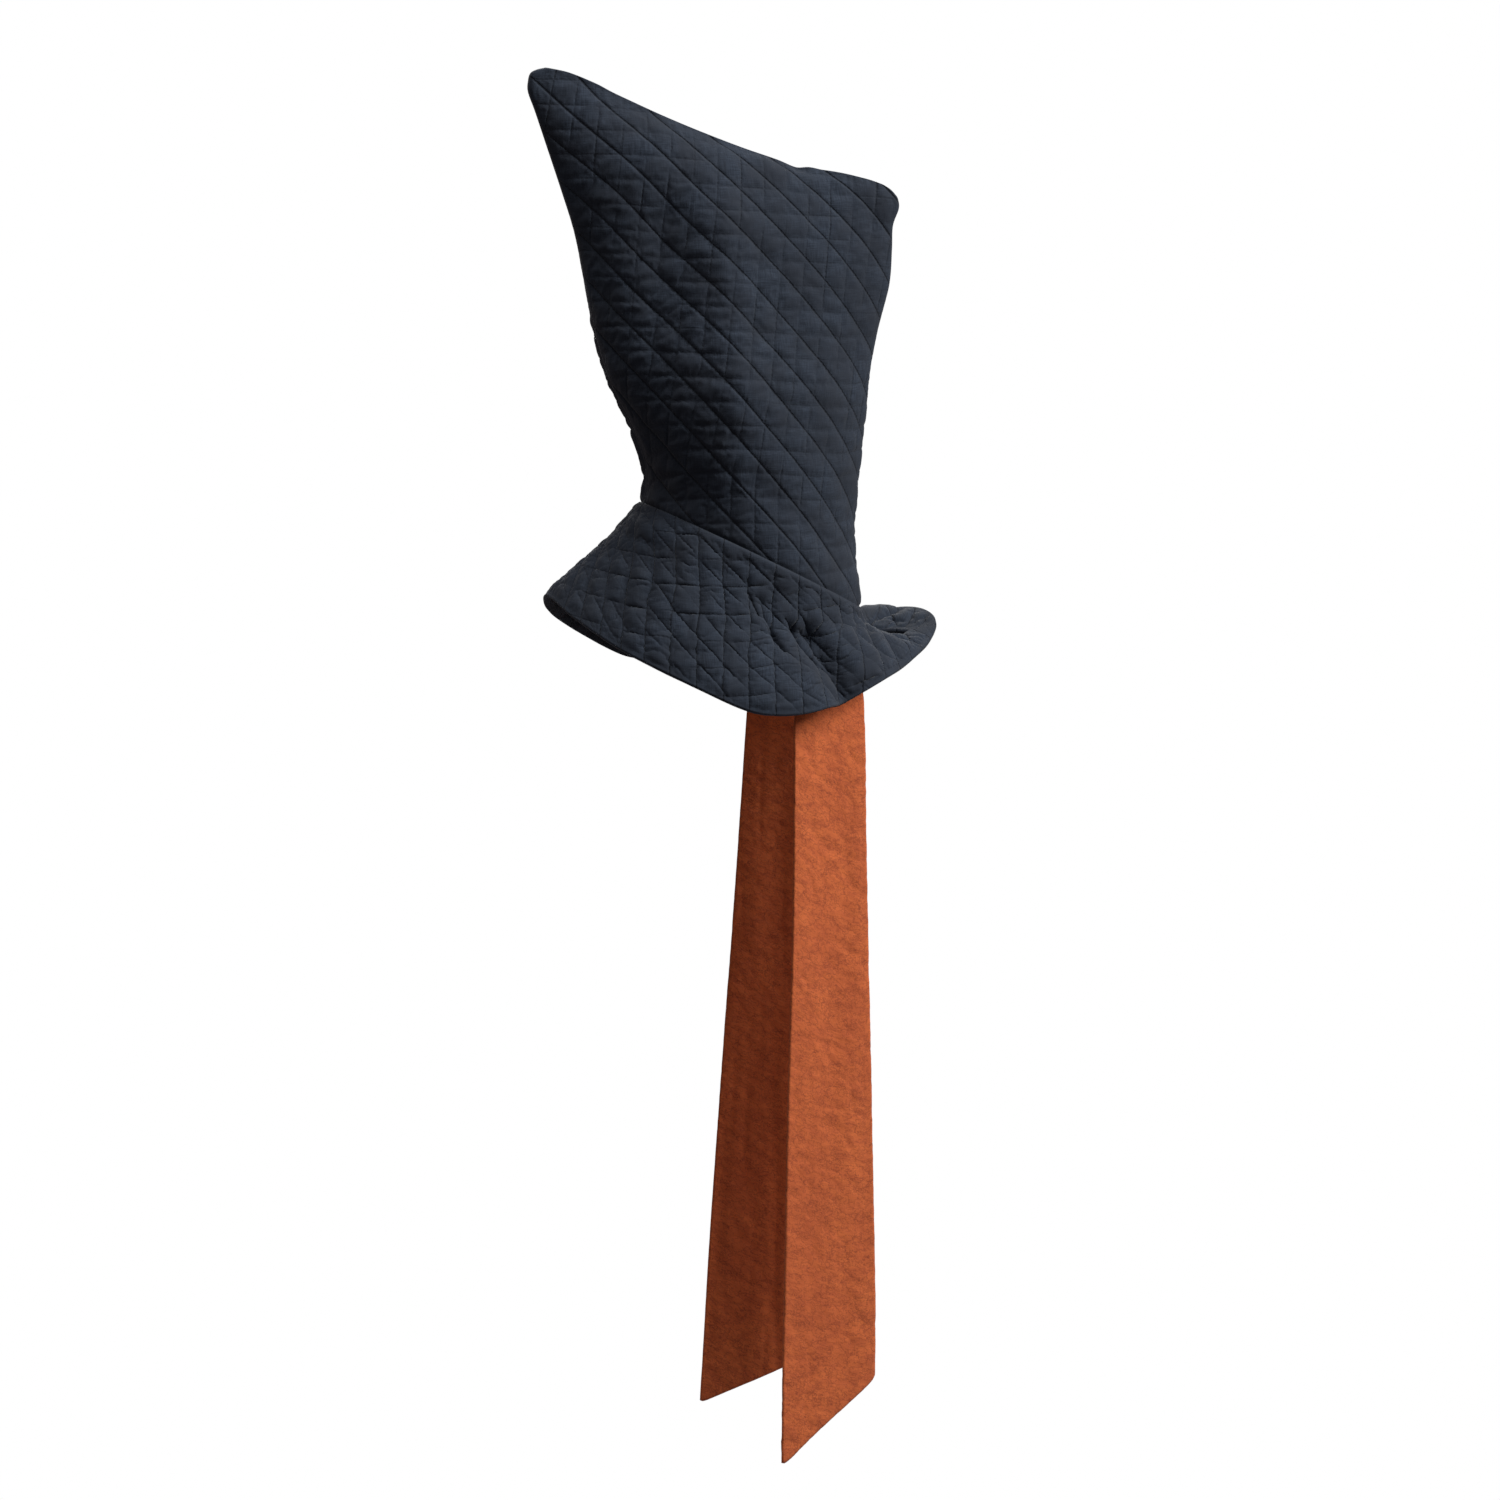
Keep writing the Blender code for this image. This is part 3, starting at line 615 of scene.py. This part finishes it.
def crown_panel(name, side, folds, seed):
    """One quilted side panel of the crown, from the opening up to the top seam."""
    rows, cols = CROWN_GRID
    rounding = (1 - np.linspace(0, 1, ROUND_ROWS + 1)[1:]) ** 2
    t = np.concatenate([np.linspace(PANEL_START, PANEL_ROUND, rows - ROUND_ROWS),
                        1.0 - (1.0 - PANEL_ROUND) * rounding])
    share = np.linspace(0.0, 1.0, cols)
    even = (1 - CROWDING) * share + CROWDING * (1 - np.cos(pi * share)) / 2
    flat_phi = np.arccos(np.clip(1 - 2 * even, -1, 1))
    mix = smooth(t / FLAT_FROM)[:, None]
    phi = pi * share[None, :] * (1 - mix) + flat_phi[None, :] * mix
    tt = np.repeat(t[:, None], cols, 1)
    base = crown_points(tt, phi, 0.0, folds)
    run = row_lengths(base)
    u, v = wandering(*panel_places(t, run), CROWN_WANDER, seed)
    edge = np.minimum(run, run[:, -1:] - run)
    top = (1.0 - tt) * CROWN_HEIGHT
    low = tt * CROWN_HEIGHT
    calm = (smooth((edge - EDGE_FLAT) / EDGE_FADE) * smooth((top - EDGE_FLAT) / TOP_FADE)
            * (HEM_PUFF + (1 - HEM_PUFF) * smooth(low / HEM_FADE)))
    loft_u, reach_u, loft_v, reach_v, least = LOFT
    loft = least + (1 - least) * np.exp(-((u - loft_u) / reach_u) ** 2 - ((v - loft_v) / reach_v) ** 2)
    normal = grid_normals(base, 1.0)
    normal[..., 1] = np.maximum(normal[..., 1], LEAST_OUTWARD)
    normal = unit(normal)
    drop, hold = stitched(u, v, CROWN_QUILT, seed)
    points = base + puffed(base, normal, -drop * calm, hold, calm) * loft[..., None]
    wrinkles = relief(u, v, CROWN_WRINKLES, seed + WRINKLE_SEED)
    points = points + normal * (calm * loft * wrinkles)[..., None]
    depth, height, fade = HEM_PULL
    points = points - normal * (depth * np.exp(-(low / height) ** 2) * smooth(edge / fade))[..., None]
    points[..., 1] = np.maximum(points[..., 1], SEAM) * side
    least, strip, fade = THIN_EDGE
    thin = np.round(least + (1 - least) * smooth((np.minimum(edge, top) - strip) / fade), 1)
    obj = cloth_grid(name, points, np.stack([u, v], -1), WALL, thin=thin)
    face_outwards(obj, outward=(0.0, side, 0.0))
    return obj


def rim_frame():
    """Half length of the opening, direction front to back and direction straight down out of it."""
    fx, fz, bx, bz = CROWN[0][:4]
    half = np.hypot(bx - fx, bz - fz) / 2
    along = np.array([(bx - fx) / (2 * half), 0.0, (bz - fz) / (2 * half)])
    down = np.array([along[2], 0.0, -along[0]])
    return half, along, down


def brim_points(angle, s):
    """Middle surface of the brim for arrays of angle in degrees and s, 0 at the seam and 1 at the edge."""
    half, along, down = rim_frame()
    row = curve(BRIM, angle.ravel(), BRIM[:, 0], 360.0).reshape(*angle.shape, 7)
    _, ex, ey, ez, drop, flare, pitch = np.moveaxis(row, -1, 0)
    grow = PROUD - WALL / 2
    turn = np.radians(angle)
    side = np.array([0.0, 1.0, 0.0])
    p0 = (along * ((half + grow) * np.cos(turn))[..., None] + down * (GAP + FACE)
          + side * ((CROWN[0][4] + grow) * np.sin(turn))[..., None])
    edge = np.stack([ex, ey, ez], -1)
    level = np.stack([ex, ey, np.zeros_like(ex)], -1) / np.hypot(ex, ey)[..., None]
    spread = np.where(np.cos(turn) > 0, BACK_SPREAD, FRONT_SPREAD) * np.abs(np.cos(turn)) ** SPREAD_POWER
    p1 = p0 + drop[..., None] * unit(down + level * spread[..., None])
    slant = np.radians(pitch)
    back = level * np.cos(slant)[..., None]
    back[..., 2] = back[..., 2] - np.sin(slant)
    p2 = edge - flare[..., None] * back
    f = np.clip(s, 0.0, 1.0)[..., None]
    r = 1 - f
    p = r**3 * p0 + 3 * r * r * f * p1 + 3 * r * f * f * p2 + f**3 * edge
    tangent = unit(3 * r * r * (p1 - p0) + 6 * r * f * (p2 - p1) + 3 * f * f * (edge - p2))
    out = level - tangent * np.sum(level * tangent, -1, keepdims=True)
    out = out / np.maximum(np.linalg.norm(out, axis=-1, keepdims=True), LEAST_SLOPE)
    lift = np.zeros_like(s)
    for a0, s0, a1, s1, height, width in BRIM_FOLDS:
        place = (s - s0) / (s1 - s0)
        away = (angle - (a0 + (a1 - a0) * place) + 180.0) % 360.0 - 180.0
        ends = smooth((place + LINE_FADE) / LINE_FADE) * smooth((LINE_STOP - place) / LINE_TAIL)
        lift = lift + height * np.exp(-(away / width) ** 2) * ends
    near_seam = smooth(s / np.where(lift > 0, *SEAM_FADES))
    p = p + out * (lift * near_seam)[..., None]
    return p - down * (np.minimum(s, 0.0) / FACE_ROW * FACE)[..., None]


def brim_cloth_places(points, arc, angle):
    """Flat places on the brim's cloth: along each row from its side's middle, and down from the seam."""
    run = row_lengths(points)
    right, left = angle <= FRONT_TURN, angle > FRONT_TURN
    u = np.empty(run.shape)
    for i in range(len(points)):
        start = np.interp(0.0, -points[i, right, 0], run[i, right])
        end = np.interp(0.0, points[i, left, 0], run[i, left])
        u[i] = np.where(right, start - run[i], run[i] - end)
    return u, points[0, :, 2] * SEAM_SLANT - arc


def brim_cloth(seed):
    """The quilted brim, one ring of cloth from the crown's seam to its edge, with the slot cut open."""
    far_cols, near_cols = BRIM_COLUMNS
    angle = SLOT_TURN + np.concatenate([np.linspace(0.0, 180.0, far_cols)[:-1],
                                        np.linspace(180.0, 360.0, near_cols)])
    across = np.concatenate([[FACE_ROW], np.linspace(0.0, 1.0, BRIM_ROWS - 1)])
    s, a = np.meshgrid(across, angle, indexing="ij")
    base = brim_points(a, s)
    arc = column_lengths(base)
    u, v = wandering(*brim_cloth_places(base, arc, angle), BRIM_WANDER, seed)
    seam_fade, edge_fade = BRIM_FADES
    calm = smooth(arc / seam_fade) * smooth((arc[-1:] - arc) / edge_fade)
    beside = np.abs(base[..., 1] - base[:, :1, 1])
    by_slot = (beside < SLOT_STRIP) & (base[..., 0] > BACK_FROM) & (slot_opening(s) > 0)
    calm = calm * np.where(by_slot, smooth((beside - SLOT_FLAT) / SLOT_FADE), 1.0)
    normal = unit(np.cross(np.gradient(base, axis=0), np.gradient(base, axis=1)))
    if np.sum(normal[..., :2] * base[..., :2]) < 0:
        normal = -normal
    drop, hold = stitched(u, v, BRIM_QUILT, seed)
    points = base + puffed(base, normal, -drop * calm, hold, calm)
    points = points + normal * (calm * relief(u, v, BRIM_WRINKLES, seed + WRINKLE_SEED))[..., None]
    roll = sum(height * np.exp(-((arc - place) / width) ** 2) for place, height, width in SEAM_ROLLS)
    points = open_slot(points + normal * roll[..., None], normal, s, a)
    cut = (s[:, :1] > SLOT_ACROSS[0]) & (s[:, :1] < SLOT_ACROSS[1])
    points[:, -1] = np.where(cut, points[:, -1], points[:, 0])
    obj = cloth_grid("brim_cloth", points, np.stack([u, v], -1), WALL, centred=True)
    face_outwards(obj)
    return obj


def slot_opening(s):
    """Half width of the slot at s, widest just before its middle."""
    start, end = SLOT_ACROSS
    inside = np.clip((s - start) / (end - start), 0.0, 1.0)
    return SLOT_HALF * np.sin(pi * inside ** SLOT_LEAN) ** SLOT_ROUND


def open_slot(points, normal, s, a):
    """Open the slot near the centre back: the cloth rolls up at its far lip and sags at its near lip."""
    half = slot_opening(s)
    middle = points[:, :1, 1]
    turn = a - SLOT_TURN
    far = turn < 180.0
    distance = np.where(far, points[..., 1] - middle, middle - points[..., 1])
    back = ((turn < SLOT_SECTOR) | (turn > 360.0 - SLOT_SECTOR)) & (distance < SLOT_REACH)
    distance = np.maximum(distance, 0.0)
    spread = half + distance * (1 - half / SLOT_REACH)
    points[..., 1] = np.where(back, middle + np.where(far, spread, -spread), points[..., 1])
    roll = np.exp(-((spread - half) / LIP_WIDTH) ** 2) * smooth(half / SLOT_HALF * LIP_FADE)
    return points + normal * np.where(back, np.where(far, LIP_FAR, LIP_NEAR) * roll, 0.0)[..., None]


def tie_top(top, side, folds):
    """Points of a tie's sewn top on the crown's inner wall, and of the rim where it comes out."""
    half, along, _ = rim_frame()
    inset = WALL + TIE_GAP + TIE / 2
    _, x, _, half_width, plan = top
    u = np.linspace(-1.0, 1.0, TIE_GRID[1])
    x_top = x + u * half_width * cos(radians(plan))
    turn = np.arccos(np.clip(x_top / along[0] / (half - inset), -1.0, 1.0))
    rim = along * ((half - inset) * np.cos(turn))[:, None]
    rim[:, 1] = rim[:, 1] + side * (CROWN[0][4] - inset) * np.sin(turn)
    up = (TIE_TUCK_ROWS - np.arange(TIE_TUCK_ROWS)) / TIE_TUCK_ROWS * TIE_TUCK / CROWN_HEIGHT
    t = up[:, None] + 0 * u
    phi = (pi - turn)[None] + 0 * t
    wall = crown_points(t, phi, WALL, folds)
    upwards = crown_points(t + STEP_UP, phi, WALL, folds) - wall
    sideways = crown_points(t, phi + STEP_ROUND, WALL, folds) - wall
    inwards = unit(np.cross(upwards, sideways))
    inwards = np.where(inwards[..., 1:2] > 0, -inwards, inwards)
    upper = wall + inwards * (TIE_GAP + TIE / 2)
    upper[..., 1] = upper[..., 1] * side
    return upper, rim


def tie_cloth(name, table, side, ends, folds, grooves, seed):
    """One long tie: its top follows the crown's inner wall, its lower end is cut on a slant."""
    rows, cols = TIE_GRID
    u = np.linspace(-1.0, 1.0, cols)
    top = table[0]
    upper, rim = tie_top(top, side, folds)
    f = np.linspace(0.0, 1.0, rows - TIE_TUCK_ROWS)[:, None]
    corner = TIE_CORNER * np.exp(-(1 - np.abs(u)) * top[3] / CORNER_WIDTH)
    end = (ends[0] + (ends[1] - ends[0]) * (u + 1) / 2 + corner)[None]
    z = rim[None, :, 2] + (end - rim[None, :, 2]) * f
    row = curve(table, np.maximum(-z, -top[0]).ravel(), -table[:, 0]).reshape(*z.shape, 5)
    _, cx, cy, half_width, plan = np.moveaxis(row, -1, 0)
    plan = np.radians(plan)
    m = smooth((rim[None, :, 2] - z) / TIE_SETTLE)
    x = rim[None, :, 0] * (1 - m) + (cx + u * half_width * np.cos(plan)) * m
    y = rim[None, :, 1] * (1 - m) + (cy + u * half_width * np.sin(plan)) * m
    points = np.concatenate([upper, np.stack([x, y, z], -1)])
    length = column_lengths(points)
    across = u * np.concatenate([np.full((TIE_TUCK_ROWS, 1), top[3]) + 0 * u, half_width])
    wave = relief(across, length, TIE_WAVES, seed)
    for k, (size_u, size_v, depth, width) in enumerate(grooves):
        grain = noise(across, length, size_u, size_v, seed + GROOVE_SEED + k)
        wave = wave - depth * np.exp(-(grain / width) ** 2)
    wave = wave * smooth((length - WAVE_START) / WAVE_FADE)
    crease = relief(across, length, TIE_CREASES, seed + CREASE_SEED) * smooth(length / CREASE_FADE)
    points = points + grid_normals(points, -1.0) * (wave + crease)[..., None]
    obj = cloth_grid(name, points, np.stack([across, -length], -1), TIE, centred=True)
    face_outwards(obj, outward=(0.0, -1.0, 0.0))
    return obj


class Field:
    """A socket's value in a node tree, with arithmetic that adds Math nodes."""

    def __init__(self, shade, socket):
        self.shade = shade
        self.socket = socket

    def math(self, operation, *others):
        """A Math node on this field and the others."""
        inputs = {0: self}
        inputs.update({k + 1: other for k, other in enumerate(others)})
        return self.shade.add("ShaderNodeMath", {"operation": operation}, inputs)

    def __add__(self, other):
        return self.math("ADD", other)

    def __sub__(self, other):
        return self.math("SUBTRACT", other)

    def __mul__(self, other):
        return self.math("MULTIPLY", other)

    def __truediv__(self, other):
        return self.math("DIVIDE", other)

    def __rsub__(self, other):
        return (self * -1.0) + other

    __radd__ = __add__
    __rmul__ = __mul__

    def __abs__(self):
        return self.math("ABSOLUTE")

    def fade(self, full, gone):
        """1 where the value is full or past it, 0 where it is gone or past it, with a soft step between."""
        inputs = {"Value": self, "From Min": full, "From Max": gone, "To Min": 1.0, "To Max": 0.0}
        return self.shade.add("ShaderNodeMapRange", {"interpolation_type": "SMOOTHSTEP"}, inputs)


class Shade:
    """The node tree of a material or of the world, with its main shader."""

    def __init__(self, owner, shader="Principled BSDF"):
        owner.use_nodes = True
        self.tree = owner.node_tree
        self.shader = self.tree.nodes[shader]

    def add(self, kind, settings=None, inputs=None, output=0):
        """A new node's output: its settings are set first, then its sockets' values or links."""
        node = self.tree.nodes.new(kind)
        for key, value in (settings or {}).items():
            setattr(node, key, value)
        for key, value in (inputs or {}).items():
            self.put(node.inputs[key], value)
        return Field(self, node.outputs[output])

    def put(self, socket, value):
        """Link a field to the socket, or set its value."""
        if isinstance(value, Field):
            self.tree.links.new(value.socket, socket)
        else:
            socket.default_value = value

    def finish(self, inputs):
        """Values or links of the main shader's sockets."""
        for key, value in inputs.items():
            self.put(self.shader.inputs[key], value)

    def grain(self, place, across, down, detail, roughness):
        """Noise with so many grains per metre across and down the cloth."""
        stretched = self.add("ShaderNodeMapping", None, {"Vector": place, "Scale": (across, down, 1.0)})
        return self.add("ShaderNodeTexNoise", None,
                        {"Vector": stretched, "Scale": 1.0, "Detail": detail, "Roughness": roughness})

    def mix(self, factor, first, second):
        """From the first colour at 0 to the second at 1."""
        return self.add("ShaderNodeMix", {"data_type": "RGBA"},
                        {"Factor": factor, "A": first, "B": second}, "Result")

    def layered(self, base, layers, fields):
        """The base colour under the table's layers, each laid on by its field."""
        for (full, gone, strength, colour), field in zip(layers, fields):
            base = self.mix(field.fade(full, gone) * strength, base, colour)
        return base

    def bump(self, height, strength, distance, under=None):
        """Normals for a height of 0 to 1 that stands for the distance, over the bump under it."""
        inputs = {"Height": height, "Strength": strength, "Distance": distance}
        if under is not None:
            inputs["Normal"] = under
        return self.add("ShaderNodeBump", None, inputs)


def stitch_lines(shade, place, families):
    """How dark the stitched lines are over the flat cloth."""
    u, v = (shade.add("ShaderNodeSeparateXYZ", None, {"Vector": place}, axis) for axis in "XY")
    lines = None
    for k, family in enumerate(families):
        turn, spacing, shift, bend = radians(family[0]), family[1] * MM, family[2] * MM, family[5]
        along = u * cos(turn) + v * sin(turn)
        cell = (u * -sin(turn) + v * cos(turn) + along * along * bend + shift) / spacing
        line = (abs(cell - cell.math("ROUND")) * spacing).fade(*THREAD_FADE)
        count = along / STITCH_LENGTH
        stitch = abs(count - count.math("ROUND")).fade(*STITCH_FADE)
        line = line * (stitch * STITCH_DEPTH + (1.0 - STITCH_DEPTH)) * FAMILY_WEIGHTS[k]
        if k > 0:
            across, down, detail, roughness = STITCH_PATCHES
            patch = shade.grain(place, across, down + k, detail, roughness).fade(*PATCH_FADE)
            line = line * (1.0 - patch * PATCH_LOSS)
        lines = line if lines is None else lines.math("MAXIMUM", line)
    return lines


def quilted_navy(name, families):
    """Slate-blue cotton with slubs, darker along its stitched lines."""
    material = bpy.data.materials.new(name)
    shade = Shade(material)
    place = shade.add("ShaderNodeUVMap", {"uv_map": "cloth"})
    grain = shade.grain(place, *NAVY_SLUBS_ACROSS) * 0.5 + shade.grain(place, *NAVY_SLUBS_DOWN) * 0.5
    base = shade.layered(NAVY, NAVY_LAYERS, (grain, shade.grain(place, *NAVY_CLOUDS)))
    lines = stitch_lines(shade, place, families)
    weave = shade.bump(grain, strength=0.55, distance=0.0006)
    shade.finish({"Base Color": shade.mix(lines * THREAD_STRENGTH, base, THREAD),
                  "Roughness": grain * 0.16 + 0.80,
                  "Specular IOR Level": 0.22,
                  "Sheen Weight": 0.10,
                  "Sheen Roughness": 0.5,
                  "Normal": shade.bump(lines * -1.0, strength=0.6, distance=0.0010, under=weave)})
    return material


def rust_cotton(name):
    """Rust plain-weave cotton, finely creased all over, with painted shade darkening its creases and folds.
    """
    material = bpy.data.materials.new(name)
    shade = Shade(material)
    place = shade.add("ShaderNodeUVMap", {"uv_map": "cloth"})
    creases = shade.grain(place, *RUST_CREASES)
    folds = shade.grain(place, *RUST_FOLDS)
    clouds = shade.grain(place, *RUST_CLOUDS)
    mottles = shade.grain(place, *RUST_MOTTLES)
    grain = shade.grain(place, *RUST_YARN_ACROSS) * 0.5 + shade.grain(place, *RUST_YARN_DOWN) * 0.5
    # the last two fields lay painted shade: thin dark lines along the creases and the folds
    fields = (clouds, mottles, grain, abs(creases - 0.5), abs(folds - 0.5))
    weave = shade.bump(grain, strength=0.4, distance=0.0004)
    shade.finish({"Base Color": shade.layered(RUST, RUST_LAYERS, fields),
                  "Roughness": grain * 0.15 + 0.78,
                  "Specular IOR Level": 0.25,
                  "Sheen Weight": 0.05,
                  "Normal": shade.bump(creases, strength=0.40, distance=0.0014, under=weave)})
    return material


def dress():
    """Every visible piece, each in the place of its solid."""
    left = crown_panel("crown_left_cloth", -1.0, FOLDS_LEFT, seed=11)
    right = crown_panel("crown_right_cloth", 1.0, FOLDS_RIGHT, seed=73)
    brim = brim_cloth(seed=131)
    near = tie_cloth("tie_left_cloth", TIE_LEFT, -1.0, TIE_LEFT_END, FOLDS_LEFT, TIE_LEFT_GROOVES, seed=7)
    far = tie_cloth("tie_right_cloth", TIE_RIGHT, 1.0, TIE_RIGHT_END, FOLDS_RIGHT, TIE_RIGHT_GROOVES,
                    seed=19)
    crown_navy = quilted_navy("navy quilted crown", CROWN_QUILT)
    brim_navy = quilted_navy("navy quilted brim", BRIM_QUILT)
    rust = rust_cotton("rust cotton")
    for piece, node, finish, slot in ((left, "crown_left", crown_navy, "navy_quilted_cotton"),
                                      (right, "crown_right", crown_navy, "navy_quilted_cotton"),
                                      (brim, "brim", brim_navy, "navy_quilted_cotton"),
                                      (near, "tie_left", rust, "rust_cotton"),
                                      (far, "tie_right", rust, "rust_cotton")):
        piece.data.materials.append(finish)
        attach(piece, "root")
        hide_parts(node)
    return left, right, brim, near, far


def area_of(obj):
    """Area of all faces of a finished piece, outer and inner, in square metres."""
    evaluated = obj.evaluated_get(bpy.context.evaluated_depsgraph_get())
    mesh = evaluated.to_mesh()
    area = sum(p.area for p in mesh.polygons)
    evaluated.to_mesh_clear()
    return area


def direction(turn, rise):
    """Direction at a turn from the wearer's left side towards the back, and a rise, in degrees."""
    turn, rise = radians(turn), radians(rise)
    return Vector((sin(turn) * cos(rise), -cos(turn) * cos(rise), sin(rise)))


def studio():
    """A pale floor, four large soft lights, a dim room and a white backdrop."""
    bm = bmesh.new()
    bmesh.ops.create_circle(bm, cap_ends=True, segments=FLOOR_SIDES, radius=FLOOR_RADIUS)
    bmesh.ops.translate(bm, verts=bm.verts, vec=(0.0, 0.0, FLOOR_HEIGHT))
    mesh = bpy.data.meshes.new("floor")
    bm.to_mesh(mesh)
    bm.free()
    floor = bpy.data.objects.new("floor", mesh)
    bpy.context.scene.collection.objects.link(floor)
    pale = bpy.data.materials.new("pale floor")
    Shade(pale).finish({"Base Color": FLOOR_COLOUR, "Roughness": 1.0})
    mesh.materials.append(pale)
    world = bpy.data.worlds.new("soft room")
    shade = Shade(world, "Background")
    shade.finish({"Color": ROOM_COLOUR, "Strength": ROOM_STRENGTH})
    room = Field(shade, shade.shader.outputs[0])
    backdrop = shade.add("ShaderNodeBackground", None, {"Color": BACKDROP})
    seen = shade.add("ShaderNodeLightPath", None, None, "Is Camera Ray")
    either = shade.add("ShaderNodeMixShader", None, {0: seen, 1: room, 2: backdrop})
    shade.put(shade.tree.nodes["World Output"].inputs["Surface"], either)
    bpy.context.scene.world = world
    for name, turn, rise, size, power in LIGHTS:
        place = LIGHT_AIM + LIGHT_DISTANCE * direction(turn, rise)
        light = bpy.data.lights.new(name, "AREA")
        light.size = size
        light.energy = power
        lamp = bpy.data.objects.new(name, light)
        lamp.location = place
        lamp.rotation_euler = (LIGHT_AIM - place).to_track_quat("-Z", "Y").to_euler()
        bpy.context.scene.collection.objects.link(lamp)


def camera():
    """The photograph's view: a little in front of the wearer's left side and a little above."""
    back = direction(VIEW_TURN, VIEW_RISE)
    data = bpy.data.cameras.new("view")
    data.sensor_width = SENSOR_WIDTH
    data.lens = SENSOR_WIDTH * VIEW_DISTANCE / VIEW_WIDTH
    eye = bpy.data.objects.new("view", data)
    eye.location = VIEW_TARGET + back * VIEW_DISTANCE
    eye.rotation_euler = (-back).to_track_quat("-Z", "Y").to_euler()
    bpy.context.scene.collection.objects.link(eye)
    bpy.context.scene.camera = eye
    bpy.context.scene.view_settings.view_transform = "Standard"


camera()
studio()
crown_left, crown_right, brim, tie_left, tie_right = dress()
for piece in (crown_left, crown_right, brim):
    area = area_of(piece) / 2
for piece, table in ((tie_left, TIE_LEFT), (tie_right, TIE_RIGHT)):
    2 * table[-1][3] * MM
    area_of(piece) / 2
